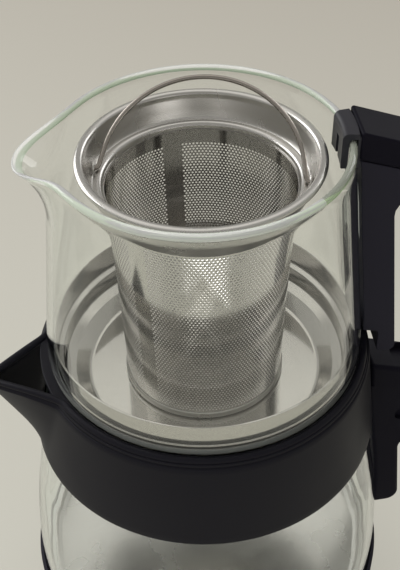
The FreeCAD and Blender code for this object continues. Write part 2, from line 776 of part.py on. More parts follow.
leg_slot = Part.makeBox(5.0 + clip_wall, 5.0, clip_drop - 3.0)
leg_slot.translate(V(clip_in - 4.0, -2.5, pot_height - clip_drop - 1.0))
rim_clip = rim_clip.cut(leg_slot)
clip_seat = slab([
    (pot_rim_outer - 8.0, tongue_low - fit_gap, 0.0), (tongue_end + fit_gap, tongue_low - fit_gap, 0.0),
    (tongue_end + fit_gap, tongue_top + fit_gap, 0.0), (leg_out + fit_gap, tongue_top + fit_gap, 0.0),
    (leg_out + fit_gap, arch_step + fit_gap, 0.0), (pot_rim_outer - 8.0, arch_step + fit_gap, 0.0)],
    clip_half_width + fit_gap)
pot_body = pot_body.cut(clip_seat)
pot_cap = pot_cap.cut(clip_seat)

handle_screw_x = seam_at + 4.2
handle_screw_z = pot_seam_low - 10.0
post_screw = Part.makeCylinder(screw_radius, 16.0, V(handle_screw_x, 0, handle_screw_z), V(0, 0, 1))
post_head = Part.makeCylinder(screw_head, 2.0, V(handle_screw_x, 0, handle_screw_z), V(0, 0, 1))
pot_screw = post_screw.fuse(post_head).removeSplitter()
far_x = pot_end - grip_thickness / 2
far_seam = pot_seam - fall(far_x - seam_at)
far_screw = Part.makeCylinder(screw_radius, 12.0, V(far_x, 0, far_seam - 8.0), V(0, 0, 1))
far_head = Part.makeCylinder(screw_head, 2.0, V(far_x, 0, far_seam - 8.0), V(0, 0, 1))
pot_screw_far = far_screw.fuse(far_head).removeSplitter()
pot_screws = group([pot_screw, pot_screw_far])
pot_body = pot_body.cut(pot_screw).cut(pot_screw_far)
rim_clip = rim_clip.cut(pot_screw)
pot_cap = pot_cap.cut(pot_screw).cut(pot_screw_far)

pad_low = collar_top + 9.0
pad_high = pot_seam_low - 12.0
pad_band = lathe_shell([(r - 0.05, z) for r, z in pad_knots], pad_thickness - 0.1, pad_low, pad_high)
pad_width = 2 * (handle_half_width - 4.0)
pad_cutter = Part.makeBox(pot_foot_radius, pad_width, pad_high, V(pot_rim_radius / 2, -pad_width / 2, pad_low - 1.0))
post_pad = pad_band.common(pad_cutter)

# Pot glass with its pulled pouring lip


def pot_section(height, grow):
    points = []
    depth = (pot_height - height) / lip_depth
    fade = max(0.0, 1.0 - depth) ** 2.2
    base = pot_outer(height) - grow
    count = 48
    for i in range(count):
        angle = -180.0 + 360.0 * i / count
        bump = math.exp(-((abs(angle) / lip_spread) ** lip_power))
        radius = base + lip_reach * fade * bump
        turn = math.radians(180.0 + angle)
        points.append(V(radius * math.cos(turn), radius * math.sin(turn), height))
    spline = Part.BSplineCurve()
    spline.interpolate(points, PeriodicFlag=True)
    return Part.Wire(spline.toShape())


lower_levels = [pot_foot, pot_foot + 0.22 * pot_glass_height, pot_foot + 0.47 * pot_glass_height]
lower_levels.append(pot_height - lip_depth)
upper_levels = [pot_height - lip_depth * f for f in (0.75, 0.5, 0.3, 0.15, 0.0)]
levels = lower_levels + upper_levels
pot_out = Part.makeLoft([pot_section(z, 0.0) for z in levels], True, False)
pot_in = Part.makeLoft([pot_section(z, pot_wall) for z in levels], True, False)
pot_glass = pot_out.cut(pot_in)
dip_start = pot_rim_radius - 8.0
dip_run = pot_rim_radius + lip_reach - dip_start
dip_angle = math.degrees(math.atan2(lip_dip, dip_run))
dip_cut = Part.makeBox(60, 80, 30, V(-60, -40, 0))
dip_cut.rotate(V(0, 0, 0), V(0, 1, 0), -dip_angle)
dip_cut.translate(V(-dip_start, 0, pot_height))
pot_glass = pot_glass.cut(dip_cut)

# Steel pan that closes the pot; its bowl hangs in the collar's opening


def glass_inside(height):
    return pot_outer(height) - pot_wall


pan_low = pan_floor - pan_sheet
pan_levels = [pot_foot + (pan_rim_height - pot_foot) * i / 6.0 for i in range(7)]
pan_outside = [(glass_inside(z) - pan_seal, z) for z in pan_levels]
pan_inside = [(r - pan_sheet, z) for r, z in reversed(pan_outside[1:])]
pan_bowl = seat_inner_radius - 1.2
pan = lathe([
    (0, pan_low), (pan_floor_radius, pan_low), (pan_step_radius, pan_step_height - pan_sheet),
    (pan_bowl, pan_step_height + 1.4), (pan_bowl, pot_foot)] + pan_outside + pan_inside + [
    (pan_outside[0][0] - pan_sheet, pot_foot + pan_sheet),
    (pan_bowl - pan_sheet, pot_foot + pan_sheet), (pan_bowl - pan_sheet, pan_step_height + 2.0),
    (pan_step_radius, pan_step_height), (pan_floor_radius, pan_floor), (0, pan_floor)])
seal_run = pan_rim_height - pot_foot - 3.3
seal_levels = [pot_foot + 0.8 + seal_run * i / 6.0 for i in range(7)]
seal_inside = [(glass_inside(z) - pan_seal + 0.15, z) for z in seal_levels]
seal_outside = [(glass_inside(z) - fit_gap, z) for z in reversed(seal_levels)]
seal_ring = lathe(seal_inside + seal_outside)

save(turned(pot_glass, pot_turn), "pot_glass")
save(turned(pan, pot_turn), "pot_base_pan")
save(turned(seal_ring, pot_turn), "pot_base_seal")
save(turned(pot_body, pot_turn), "pot_handle_body")
save(turned(pot_cap, pot_turn), "pot_handle_cap")
save(turned(rim_clip, pot_turn), "pot_rim_clip")
save(turned(pot_screws, pot_turn), "pot_handle_screws")
save(turned(post_pad, pot_turn), "pot_handle_pad")

# Kettle handle
kettle_seam = kettle_cap_top - kettle_cap_height
kettle_at = collar_outer(kettle_seam) + 0.05
kettle_in = [(collar_bottom_radius + 0.05, collar_bottom + 0.3, 0.0)]
post_run = collar_bottom - 1.5 - kettle_post_bottom
for share in (1.0, 0.75, 0.47, 0.23):
    height = kettle_post_bottom + share * post_run
    kettle_in.append((curve_at(kettle_knots, height) + 1.2, height, 0.0))
kettle_body, kettle_outline = handle_body(
    kettle_in, kettle_at, kettle_seam, kettle_arm_depth, kettle_post_thickness,
    kettle_post_bottom, kettle_grip_bottom, kettle_half_width, glass_belly_radius + 1.6, 6.0)
kettle_end = kettle_outline[0][0]
kettle_body = soften_sides(
    kettle_body, kettle_half_width, handle_fillet,
    lambda p: p.x > kettle_at + 15.0 and p.z < kettle_seam - fall(p.x - kettle_at) - 2.0)
for side in (-1.0, 1.0):
    pocket_box = Part.makeBox(slot_length, slot_depth * 2, slot_height)
    pocket_x = kettle_at + 14.0
    pocket_z = kettle_seam - 26.0
    pocket_box.translate(V(pocket_x, side * kettle_half_width - slot_depth, pocket_z))
    ends = [e for e in pocket_box.Edges if e.BoundBox.XLength < 1e-6 and e.BoundBox.ZLength < 1e-6]
    pocket_box = pocket_box.makeFillet(2.4, ends)
    kettle_body = kettle_body.cut(pocket_box)
kettle_cap = handle_cap(
    collar_outer(kettle_cap_top) + 0.05, kettle_cap_top, kettle_at, kettle_seam, kettle_end,
    kettle_cap_height, kettle_half_width)
kettle_cap = soften_sides(
    kettle_cap, kettle_half_width, cap_fillet,
    lambda p: p.x > kettle_at + 1.0 and p.z > kettle_seam - fall(p.x - kettle_at) + 1.0)
recess_x = collar_top_radius + 22.5
recess_z = kettle_cap_top - fall(recess_x - kettle_at)
recess_axis = V(math.sin(math.radians(handle_slope)), 0, math.cos(math.radians(handle_slope)))
recess_start = V(recess_x, 0, recess_z) - recess_axis * thumb_recess_depth
recess_cut = Part.makeCylinder(thumb_recess_radius, 20, recess_start, recess_axis)
kettle_cap = kettle_cap.cut(recess_cut)
keep_clear = lathe([
    (0, below), (collar_bottom_radius + 0.05, below), (collar_bottom_radius + 0.05, collar_bottom),
    (collar_outer(neck) + 0.05, neck), (0, neck)])
kettle_body = kettle_body.cut(keep_clear)
kettle_cap = kettle_cap.cut(keep_clear)
handle_screws = []
for x in (kettle_at + 8.0, kettle_end - grip_thickness / 2):
    seam_here = kettle_seam - fall(x - kettle_at)
    shank = Part.makeCylinder(screw_radius, 13.0, V(x, 0, seam_here - 8.0), V(0, 0, 1))
    head = Part.makeCylinder(screw_head, 2.0, V(x, 0, seam_here - 8.0), V(0, 0, 1))
    handle_screws.append(shank.fuse(head).removeSplitter())
for piece in handle_screws:
    kettle_body = kettle_body.cut(piece)
    kettle_cap = kettle_cap.cut(piece)
save(kettle_body, "kettle_handle_body")
save(kettle_cap, "kettle_handle_cap")
save(group(handle_screws), "kettle_handle_screws")

# Infuser: rolled rim and funnel, seamed cup, base and the bail with its lugs

rim = infuser_rim_height
sheet = infuser_sheet
funnel = lathe([
    (infuser_rim_radius - infuser_bead, rim - infuser_bead), (band_radius, band_height + 1.0),
    (band_radius, band_height), (neck_radius + 0.6, band_height - 1.2), (neck_radius, band_height - 2.0),
    (neck_radius, neck_bottom), (neck_radius - sheet, neck_bottom),
    (neck_radius - sheet, band_height - 1.2), (band_radius - 2.2, band_height - 0.4),
    (band_radius - 1.0, band_height + 1.4), (infuser_rim_radius - infuser_bead - 2.2, rim - 4.0),
    (infuser_rim_radius - infuser_bead - 1.0, rim - infuser_bead + 0.4)])
bead = Part.makeTorus(infuser_rim_radius - infuser_bead, infuser_bead, V(0, 0, rim - infuser_bead))
funnel = funnel.fuse(bead)

cup_floor = pan_floor + loose_gap
cup_low = cup_floor + cup_base_height
cup_top_radius = neck_radius - sheet - 0.1
cup_top = neck_bottom + 4.0
cup_belly = cup_low + cup_belly_share * (cup_top - cup_low)
cup_knots = [(cup_top_radius, cup_top), (cup_top_radius - 1.7, cup_belly), (cup_bottom_radius, cup_low)]
cup = lathe_shell(cup_knots, cup_wall, cup_low, cup_top, 6)
for i in range(seam_count):
    angle = 360.0 * i / seam_count + seam_first
    strip_knots = [(r + seam_step, z) for r, z in cup_knots]
    strip = lathe_shell(strip_knots, 2 * seam_step, cup_low, neck_bottom - 0.2, 6)
    half_angle = math.degrees(seam_width / 2 / neck_radius)
    wedge = Part.makeCylinder(2 * neck_radius, pot_height, V(0, 0, 0), V(0, 0, 1), 2 * half_angle)
    wedge.rotate(V(0, 0, 0), V(0, 0, 1), angle - half_angle)
    cup = cup.fuse(strip.common(wedge))
cup_base = lathe([
    (0, cup_floor + 1.2), (cup_base_radius - 4.0, cup_floor + 1.2), (cup_base_radius - 3.0, cup_floor),
    (cup_base_radius, cup_floor), (cup_base_radius, cup_low - 0.02), (cup_bottom_radius - 1.4, cup_low - 0.02),
    (cup_bottom_radius - 1.4, cup_floor + 1.8), (0, cup_floor + 1.8)])

lug_x = bail_radius + fit_gap
lugs = []
for side in (-1.0, 1.0):
    lug = Part.makeCylinder(lug_radius, lug_sheet, V(side * lug_x, 0, bail_height), V(side, 0, 0))
    hole = Part.makeCylinder(bail_wire + 0.06, 10, V(side * (lug_x - 4), 0, bail_height), V(side, 0, 0))
    foot = Part.makeBox(1.6, 3.0, 1.6, V(-0.8, -1.5, -0.8))
    foot.translate(V(side * (lug_x + lug_sheet + 0.2), 0, bail_height - lug_radius + 1.0))
    lug = lug.fuse(foot).cut(hole)
    lugs.append(lug)
lug_pair = group(lugs)
funnel = funnel.cut(lug_pair)

pivot_reach = lug_x + lug_sheet * 0.5
corner = bail_radius - 1.2
bail = Part.makeTorus(corner, bail_wire, V(0, 0, bail_height), V(0, 1, 0))
below_pivot = Part.makeBox(4 * bail_radius, 20, bail_radius * 2, V(-2 * bail_radius, -10, bail_height - 2 * bail_radius))
bail = bail.cut(below_pivot)
for side in (-1.0, 1.0):
    end = Part.makeCylinder(bail_wire, pivot_reach - corner, V(side * corner, 0, bail_height), V(side, 0, 0))
    knee = Part.makeSphere(bail_wire, V(side * corner, 0, bail_height))
    bail = bail.fuse([end, knee])
bail.rotate(V(0, 0, bail_height), V(1, 0, 0), -bail_lean)

save(turned(funnel, infuser_turn), "infuser_rim")
save(turned(cup, infuser_turn), "infuser_cup")
save(turned(cup_base, infuser_turn), "infuser_base")
save(turned(lug_pair, infuser_turn), "bail_lugs")
save(turned(bail, infuser_turn), "bail_wire")
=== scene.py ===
import math

import bmesh
import bpy
from mathutils import Matrix, Vector


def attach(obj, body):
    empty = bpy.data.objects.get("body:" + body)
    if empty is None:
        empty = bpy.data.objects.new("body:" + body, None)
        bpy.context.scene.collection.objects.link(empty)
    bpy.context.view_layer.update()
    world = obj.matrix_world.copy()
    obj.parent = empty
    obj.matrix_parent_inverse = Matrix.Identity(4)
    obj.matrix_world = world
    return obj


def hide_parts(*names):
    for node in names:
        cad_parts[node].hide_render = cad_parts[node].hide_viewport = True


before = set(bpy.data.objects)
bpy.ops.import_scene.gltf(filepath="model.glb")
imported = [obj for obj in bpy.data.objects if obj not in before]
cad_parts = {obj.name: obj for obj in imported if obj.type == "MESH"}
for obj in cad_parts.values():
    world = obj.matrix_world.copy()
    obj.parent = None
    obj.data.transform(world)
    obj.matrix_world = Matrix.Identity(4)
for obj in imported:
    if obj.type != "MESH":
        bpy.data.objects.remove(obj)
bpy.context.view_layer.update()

# Shapes are written in millimetres and turned into metres when a mesh is made
MM = 0.001

# Points closer than this are one point when a surface closes, in millimetres
SAME_POINT = 0.001

# Places that the pieces share, in millimetres above the table or from the common axis
POT_TURN = -4.0
INFUSER_TURN = -17.0
SPOUT_SIDE = 180.0
RIM = 292.0
POT_FOOT = 193.5
COLLAR_BOTTOM = 150.0
COLLAR_TOP = 195.5
PAN_FLOOR = 179.0
CUP_TOP = 273.2
CUP_BOTTOM = 182.4
BAIL_PIVOT = 276.6
BAIL_LEAN = 52.0


# Mesh helpers

def finish_mesh(name, mesh_data, material, body, nodes=(), turn=0.0):
    """Turns a mesh in millimetres into a piece that rides on its body and stands for its nodes."""
    mesh = bpy.data.meshes.new(name)
    mesh_data.to_mesh(mesh)
    mesh_data.free()
    mesh.transform(Matrix.Rotation(math.radians(turn), 4, "Z") @ Matrix.Scale(MM, 4))
    mesh.materials.append(material)
    mesh.shade_smooth()
    piece = bpy.data.objects.new(name, mesh)
    bpy.context.scene.collection.objects.link(piece)
    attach(piece, body)
    if nodes:
        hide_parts(*nodes)
    return piece


def even_normals(piece):
    """Keeps broad faces flat and lets only their rounded edges catch the light."""
    weighted = piece.modifiers.new("even_normals", "WEIGHTED_NORMAL")
    weighted.keep_sharp = True
    return piece


def round_edges(piece, width, segments=2):
    """Rounds the sharp edges of a piece; the width is in millimetres."""
    soften = piece.modifiers.new("soft_edges", "BEVEL")
    soften.width = width * MM
    soften.segments = segments
    soften.limit_method = "ANGLE"
    soften.angle_limit = math.radians(35)
    return piece


def apply_modifiers(piece):
    """Bakes a piece's modifiers into its mesh."""
    graph = bpy.context.evaluated_depsgraph_get()
    baked = bpy.data.meshes.new_from_object(piece.evaluated_get(graph))
    piece.modifiers.clear()
    piece.data = baked
    baked.shade_smooth()
    return piece


def arc(centre, radius, start, end, steps):
    """Points of an arc in a profile; angles in degrees, from the first axis to the second."""
    points = []
    for i in range(steps + 1):
        angle = math.radians(start + (end - start) * i / steps)
        points.append((centre[0] + radius * math.cos(angle), centre[1] + radius * math.sin(angle)))
    return points


def round_corners(corners, steps=5):
    """Profile points through (x, z, rounding) corners, each corner turned into a tangent arc."""
    points = []
    count = len(corners)
    for i in range(count):
        here = Vector(corners[i][:2])
        rounding = corners[i][2]
        if rounding <= 0:
            points.append(tuple(here))
            continue
        back = (Vector(corners[i - 1][:2]) - here).normalized()
        ahead = (Vector(corners[(i + 1) % count][:2]) - here).normalized()
        half = back.angle(ahead) / 2
        reach = rounding / math.tan(half)
        start = here + back * reach
        centre = here + (back + ahead).normalized() * (rounding / math.sin(half))
        first = start - centre
        turn = math.pi - 2 * half
        side = 1.0 if back.x * ahead.y - back.y * ahead.x < 0 else -1.0
        for k in range(steps + 1):
            angle = side * turn * k / steps
            x = first.x * math.cos(angle) - first.y * math.sin(angle)
            y = first.x * math.sin(angle) + first.y * math.cos(angle)
            points.append((centre.x + x, centre.y + y))
    return points


def smooth_through(knots, steps):
    """Points of a smooth line through (x, z) knots."""
    points = []
    last = len(knots) - 1
    for i in range(last):
        before = Vector(knots[max(i - 1, 0)])
        a = Vector(knots[i])
        b = Vector(knots[i + 1])
        after = Vector(knots[min(i + 2, last)])
        for k in range(steps):
            t = k / steps
            p = 0.5 * ((2 * a) + (b - before) * t + (2 * before - 5 * a + 4 * b - after) * t ** 2
                       + (3 * a - before - 3 * b + after) * t ** 3)
            points.append((p.x, p.y))
    points.append(tuple(knots[-1]))
    return points


def radius_at(knots, height):
    """Radius at a height on the smooth line through (radius, height) knots, lowest knot first."""
    line = smooth_through(knots, 12)
    for (r0, z0), (r1, z1) in zip(line, line[1:]):
        if z0 <= height <= z1:
            return r0 + (r1 - r0) * (height - z0) / (z1 - z0)
    return line[0][0] if height < line[0][1] else line[-1][0]


def skin(rings, closed_profile=True):
    """Surface over rings of points that all have the same count; each ring closes on itself."""
    bm = bmesh.new()
    rows = [[bm.verts.new(p) for p in ring] for ring in rings]
    pairs = list(zip(rows, rows[1:]))
    if closed_profile:
        pairs.append((rows[-1], rows[0]))
    for lower, upper in pairs:
        for i in range(len(lower)):
            k = (i + 1) % len(lower)
            bm.faces.new((lower[i], lower[k], upper[k], upper[i]))
    bmesh.ops.remove_doubles(bm, verts=bm.verts, dist=SAME_POINT)
    bmesh.ops.recalc_face_normals(bm, faces=bm.faces)
    return bm


def turned_piece(profile, segments=180, closed_profile=True):
    """Solid of revolution from a closed (radius, height) profile."""
    rings = []
    for r, z in profile:
        ring = []
        for i in range(segments):
            angle = 2 * math.pi * i / segments
            ring.append((r * math.cos(angle), r * math.sin(angle), z))
        rings.append(ring)
    return skin(rings, closed_profile)


def slab(outline, half_width):
    """Closed block with the given (x, z) outline, from -half_width to half_width along Y."""
    bm = bmesh.new()
    near = [bm.verts.new((x, -half_width, z)) for x, z in outline]
    far = [bm.verts.new((x, half_width, z)) for x, z in outline]
    bm.faces.new(near)
    bm.faces.new(list(reversed(far)))
    for i in range(len(outline)):
        k = (i + 1) % len(outline)
        bm.faces.new((near[i], near[k], far[k], far[i]))
    bmesh.ops.recalc_face_normals(bm, faces=bm.faces)
    return bm


def swept_block(outline, first, last, steps=12):
    """Closed block whose (radius, z) outline is swept round the vertical axis between two angles."""
    bm = bmesh.new()
    rows = []
    for i in range(steps + 1):
        turn = math.radians(first + (last - first) * i / steps)
        rows.append([bm.verts.new((r * math.cos(turn), r * math.sin(turn), z)) for r, z in outline])
    for lower, upper in zip(rows, rows[1:]):
        for i in range(len(outline)):
            k = (i + 1) % len(outline)
            bm.faces.new((lower[i], lower[k], upper[k], upper[i]))
    bm.faces.new(rows[0])
    bm.faces.new(rows[-1])
    bmesh.ops.recalc_face_normals(bm, faces=bm.faces)
    return bm


def tube(path, radius, sides=14):
    """Round wire along a path of points, with flat ends."""
    bm = bmesh.new()
    rings = []
    reference = Vector((0, 1, 0))
    for i, point in enumerate(path):
        ahead = Vector(path[min(i + 1, len(path) - 1)]) - Vector(path[max(i - 1, 0)])
        ahead.normalize()
        across = ahead.cross(reference)
        if across.length < 1e-4:
            across = ahead.cross(Vector((1, 0, 0)))
        across.normalize()
        other = ahead.cross(across)
        reference = across.cross(ahead)
        ring = []
        for k in range(sides):
            angle = 2 * math.pi * k / sides
            place = Vector(point) + (across * math.cos(angle) + other * math.sin(angle)) * radius
            ring.append(bm.verts.new(place))
        rings.append(ring)
    for lower, upper in zip(rings, rings[1:]):
        for k in range(sides):
            n = (k + 1) % sides
            bm.faces.new((lower[k], lower[n], upper[n], upper[k]))
    bm.faces.new(rings[0])
    bm.faces.new(rings[-1])
    bmesh.ops.recalc_face_normals(bm, faces=bm.faces)
    return bm


# Shader groups that several finishes share

def new_group(name, inputs, outputs):
    """Empty node group with named float inputs and the given outputs."""
    group = bpy.data.node_groups.new(name, "ShaderNodeTree")
    for label, value in inputs:
        socket = group.interface.new_socket(label, in_out="INPUT", socket_type="NodeSocketFloat")
        socket.default_value = value
    for label, kind in outputs:
        group.interface.new_socket(label, in_out="OUTPUT", socket_type=kind)
    entry = group.nodes.new("NodeGroupInput")
    leave = group.nodes.new("NodeGroupOutput")
    return group, entry, leave


def fine_grain_group():
    """Moulded grain: a fine bump, and a roughness that drifts over the surface."""
    outputs = [("Normal", "NodeSocketVector"), ("Roughness", "NodeSocketFloat")]
    inputs = [("Scale", 2500.0), ("Depth", 0.1), ("Low", 0.35), ("High", 0.5)]
    group, entry, leave = new_group("fine_grain", inputs, outputs)
    nodes = group.nodes
    links = group.links
    place = nodes.new("ShaderNodeTexCoord")
    grain = nodes.new("ShaderNodeTexNoise")
    grain.inputs["Detail"].default_value = 2.0
    links.new(place.outputs["Object"], grain.inputs["Vector"])
    links.new(entry.outputs["Scale"], grain.inputs["Scale"])
    bump = nodes.new("ShaderNodeBump")
    bump.inputs["Distance"].default_value = 0.0001
    links.new(grain.outputs["Fac"], bump.inputs["Height"])
    links.new(entry.outputs["Depth"], bump.inputs["Strength"])
    links.new(bump.outputs["Normal"], leave.inputs["Normal"])
    drift = nodes.new("ShaderNodeTexNoise")
    drift.inputs["Scale"].default_value = 22.0
    drift.inputs["Detail"].default_value = 4.0
    links.new(place.outputs["Object"], drift.inputs["Vector"])
    spread = nodes.new("ShaderNodeMapRange")
    spread.inputs["From Min"].default_value = 0.3
    spread.inputs["From Max"].default_value = 0.7
    links.new(drift.outputs["Fac"], spread.inputs["Value"])
    links.new(entry.outputs["Low"], spread.inputs["To Min"])
    links.new(entry.outputs["High"], spread.inputs["To Max"])
    links.new(spread.outputs["Result"], leave.inputs["Roughness"])
    return group


def turned_lines_group():
    """Lines left by spinning the steel: fine rings about the vertical axis, and faint wipe marks."""
    outputs = [("Normal", "NodeSocketVector"), ("Roughness", "NodeSocketFloat"),
               ("Tone", "NodeSocketFloat")]
    inputs = [("Fineness", 900.0), ("Depth", 0.05), ("Low", 0.08), ("High", 0.16)]
    group, entry, leave = new_group("turned_lines", inputs, outputs)
    nodes = group.nodes
    links = group.links
    place = nodes.new("ShaderNodeTexCoord")
    split = nodes.new("ShaderNodeSeparateXYZ")
    links.new(place.outputs["Object"], split.inputs["Vector"])
    flat = nodes.new("ShaderNodeCombineXYZ")
    links.new(split.outputs["X"], flat.inputs["X"])
    links.new(split.outputs["Y"], flat.inputs["Y"])
    radius = nodes.new("ShaderNodeVectorMath")
    radius.operation = "LENGTH"
    links.new(flat.outputs["Vector"], radius.inputs[0])
    ring_place = nodes.new("ShaderNodeCombineXYZ")
    links.new(radius.outputs["Value"], ring_place.inputs["X"])
    links.new(split.outputs["Z"], ring_place.inputs["Y"])
    rings = nodes.new("ShaderNodeTexNoise")
    rings.inputs["Detail"].default_value = 3.0
    links.new(ring_place.outputs["Vector"], rings.inputs["Vector"])
    links.new(entry.outputs["Fineness"], rings.inputs["Scale"])
    bump = nodes.new("ShaderNodeBump")
    bump.inputs["Distance"].default_value = 0.0001
    links.new(rings.outputs["Fac"], bump.inputs["Height"])
    links.new(entry.outputs["Depth"], bump.inputs["Strength"])
    links.new(bump.outputs["Normal"], leave.inputs["Normal"])
    wipes = nodes.new("ShaderNodeTexNoise")
    wipes.inputs["Scale"].default_value = 30.0
    wipes.inputs["Detail"].default_value = 5.0
    links.new(place.outputs["Object"], wipes.inputs["Vector"])
    spread = nodes.new("ShaderNodeMapRange")
    spread.inputs["From Min"].default_value = 0.35
    spread.inputs["From Max"].default_value = 0.7
    links.new(wipes.outputs["Fac"], spread.inputs["Value"])
    links.new(entry.outputs["Low"], spread.inputs["To Min"])
    links.new(entry.outputs["High"], spread.inputs["To Max"])
    links.new(spread.outputs["Result"], leave.inputs["Roughness"])
    tone = nodes.new("ShaderNodeMapRange")
    tone.inputs["To Min"].default_value = 0.94
    tone.inputs["To Max"].default_value = 1.0
    links.new(rings.outputs["Fac"], tone.inputs["Value"])
    links.new(tone.outputs["Result"], leave.inputs["Tone"])
    return group


FINE_GRAIN = fine_grain_group()
TURNED_LINES = turned_lines_group()


# Materials

def plain_material(name, color, roughness, metallic=0.0):
    """Principled material with its uniform values set on the shader itself."""
    material = bpy.data.materials.new(name)
    material.use_nodes = True
    shader = material.node_tree.nodes["Principled BSDF"]
    shader.inputs["Base Color"].default_value = (*color, 1.0)
    shader.inputs["Roughness"].default_value = roughness
    shader.inputs["Metallic"].default_value = metallic
    return material, shader


def place_group(material, group, values):
    node = material.node_tree.nodes.new("ShaderNodeGroup")
    node.node_tree = group
    for label, value in values.items():
        node.inputs[label].default_value = value
    return node


def moulded(name, color, low, high, depth=0.12, scale=2500.0, specular=0.5):
    """Moulded plastic or rubber with a fine grain."""
    material, shader = plain_material(name, color, (low + high) / 2)
    shader.inputs["Specular IOR Level"].default_value = specular
    grain = place_group(material, FINE_GRAIN, {"Scale": scale, "Depth": depth, "Low": low, "High": high})
    links = material.node_tree.links
    links.new(grain.outputs["Normal"], shader.inputs["Normal"])
    links.new(grain.outputs["Roughness"], shader.inputs["Roughness"])
    return material


def spun_steel(name, color, low, high, depth=0.05, fineness=900.0):
    """Stainless steel turned or drawn about the vertical axis."""
    material, shader = plain_material(name, color, low, 1.0)
    lines = place_group(material, TURNED_LINES,
                        {"Fineness": fineness, "Depth": depth, "Low": low, "High": high})
    nodes = material.node_tree.nodes
    links = material.node_tree.links
    tint = nodes.new("ShaderNodeMix")
    tint.data_type = "RGBA"
    tint.blend_type = "MULTIPLY"
    tint.inputs["Factor"].default_value = 1.0
    tint.inputs["A"].default_value = (*color, 1.0)
    links.new(lines.outputs["Tone"], tint.inputs["B"])
    links.new(tint.outputs["Result"], shader.inputs["Base Color"])
    links.new(lines.outputs["Normal"], shader.inputs["Normal"])
    links.new(lines.outputs["Roughness"], shader.inputs["Roughness"])
    return material


GLASS_INDEX = 1.45
GLASS_SHADE = (0.95, 0.97, 0.95)
GLASS_BODY = (0.45, 0.75, 0.2)
GLASS_DENSITY = 3.5


def clear_glass(name, face_on, edge_on, clearness=1.0):
    """Clear glass: slightly wavy, greener where it is seen edge on, and lamps shine through it."""
    material, shader = plain_material(name, face_on, 0.0)
    shader.inputs["Transmission Weight"].default_value = clearness
    shader.inputs["IOR"].default_value = GLASS_INDEX
    nodes = material.node_tree.nodes
    links = material.node_tree.links
    place = nodes.new("ShaderNodeTexCoord")
    wave = nodes.new("ShaderNodeTexNoise")
    wave.inputs["Scale"].default_value = 26.0
    wave.inputs["Detail"].default_value = 1.0
    links.new(place.outputs["Object"], wave.inputs["Vector"])
    bump = nodes.new("ShaderNodeBump")
    bump.inputs["Strength"].default_value = 0.03
    bump.inputs["Distance"].default_value = 0.0005
    links.new(wave.outputs["Fac"], bump.inputs["Height"])
    links.new(bump.outputs["Normal"], shader.inputs["Normal"])
    edge = nodes.new("ShaderNodeLayerWeight")
    edge.inputs["Blend"].default_value = 0.35
    depth = nodes.new("ShaderNodeMapRange")
    depth.inputs["From Min"].default_value = 0.45
    depth.inputs["From Max"].default_value = 1.0
    links.new(edge.outputs["Facing"], depth.inputs["Value"])
    tint = nodes.new("ShaderNodeMix")
    tint.data_type = "RGBA"
    tint.inputs["A"].default_value = (*face_on, 1.0)
    tint.inputs["B"].default_value = (*edge_on, 1.0)
    links.new(depth.outputs["Result"], tint.inputs["Factor"])
    links.new(tint.outputs["Result"], shader.inputs["Base Color"])
    path = nodes.new("ShaderNodeLightPath")
    clear = nodes.new("ShaderNodeBsdfTransparent")
    clear.inputs["Color"].default_value = (*GLASS_SHADE, 1.0)
    mix = nodes.new("ShaderNodeMixShader")
    links.new(path.outputs["Is Shadow Ray"], mix.inputs["Fac"])
    links.new(shader.outputs["BSDF"], mix.inputs[1])
    links.new(clear.outputs["BSDF"], mix.inputs[2])
    links.new(mix.outputs["Shader"], nodes["Material Output"].inputs["Surface"])
    body = nodes.new("ShaderNodeVolumeAbsorption")
    body.inputs["Color"].default_value = (*GLASS_BODY, 1.0)
    body.inputs["Density"].default_value = GLASS_DENSITY
    links.new(body.outputs["Volume"], nodes["Material Output"].inputs["Volume"])
    return material


GLASS = clear_glass("clear_glass", (0.99, 1.0, 0.99), (0.965, 0.99, 0.955))
RIM_GLASS = clear_glass("rim_glass", (1.0, 1.0, 0.99), (0.985, 0.993, 0.975), 0.6)
GREEN_RIM_GLASS = clear_glass("green_rim_glass", (0.93, 0.98, 0.84), (0.84, 0.95, 0.68), 0.75)
BLACK = moulded("black_moulding", (0.0175, 0.0166, 0.0235), 0.44, 0.56, specular=0.05)
CAP_BLACK = moulded("cap_moulding", (0.0062, 0.0057, 0.0094), 0.44, 0.56, specular=0.04)
COLLAR_BLACK = moulded("collar_moulding", (0.0058, 0.0055, 0.0086), 0.4, 0.5, specular=0.14)
CLIP_GREY = moulded("clip_moulding", (0.019, 0.0185, 0.0235), 0.36, 0.46, specular=0.25)
BUTTON_BLACK = moulded("button_moulding", (0.03, 0.03, 0.034), 0.22, 0.32, 0.05)
GREY = moulded("grey_moulding", (0.22, 0.22, 0.23), 0.4, 0.55)
RUBBER = moulded("foot_rubber", (0.025, 0.025, 0.025), 0.6, 0.8, 0.25)
SILICONE = moulded("seal_silicone", (0.6, 0.6, 0.58), 0.4, 0.55)
SEAL_GREY = moulded("foot_seal_silicone", (0.2, 0.2, 0.2), 0.35, 0.45)
LIGHT_STRIP = moulded("milky_strip", (0.7, 0.7, 0.67), 0.25, 0.35, 0.03)
BOARD = moulded("board_lacquer", (0.02, 0.14, 0.06), 0.3, 0.45, 0.08)
PAN_STEEL = spun_steel("pan_steel", (0.62, 0.6, 0.57), 0.07, 0.12, 0.02)
PLATE_STEEL = spun_steel("plate_steel", (0.66, 0.65, 0.63), 0.2, 0.32, 0.12)
FUNNEL_STEEL = spun_steel("funnel_steel", (0.66, 0.645, 0.62), 0.25, 0.33, 0.015)
CUP_STEEL = spun_steel("cup_steel", (0.66, 0.645, 0.62), 0.1, 0.16, 0.02)
WIRE_STEEL = spun_steel("wire_steel", (0.42, 0.385, 0.35), 0.14, 0.22)
SCREW_STEEL = spun_steel("screw_steel", (0.6, 0.6, 0.6), 0.25, 0.4, 0.1)
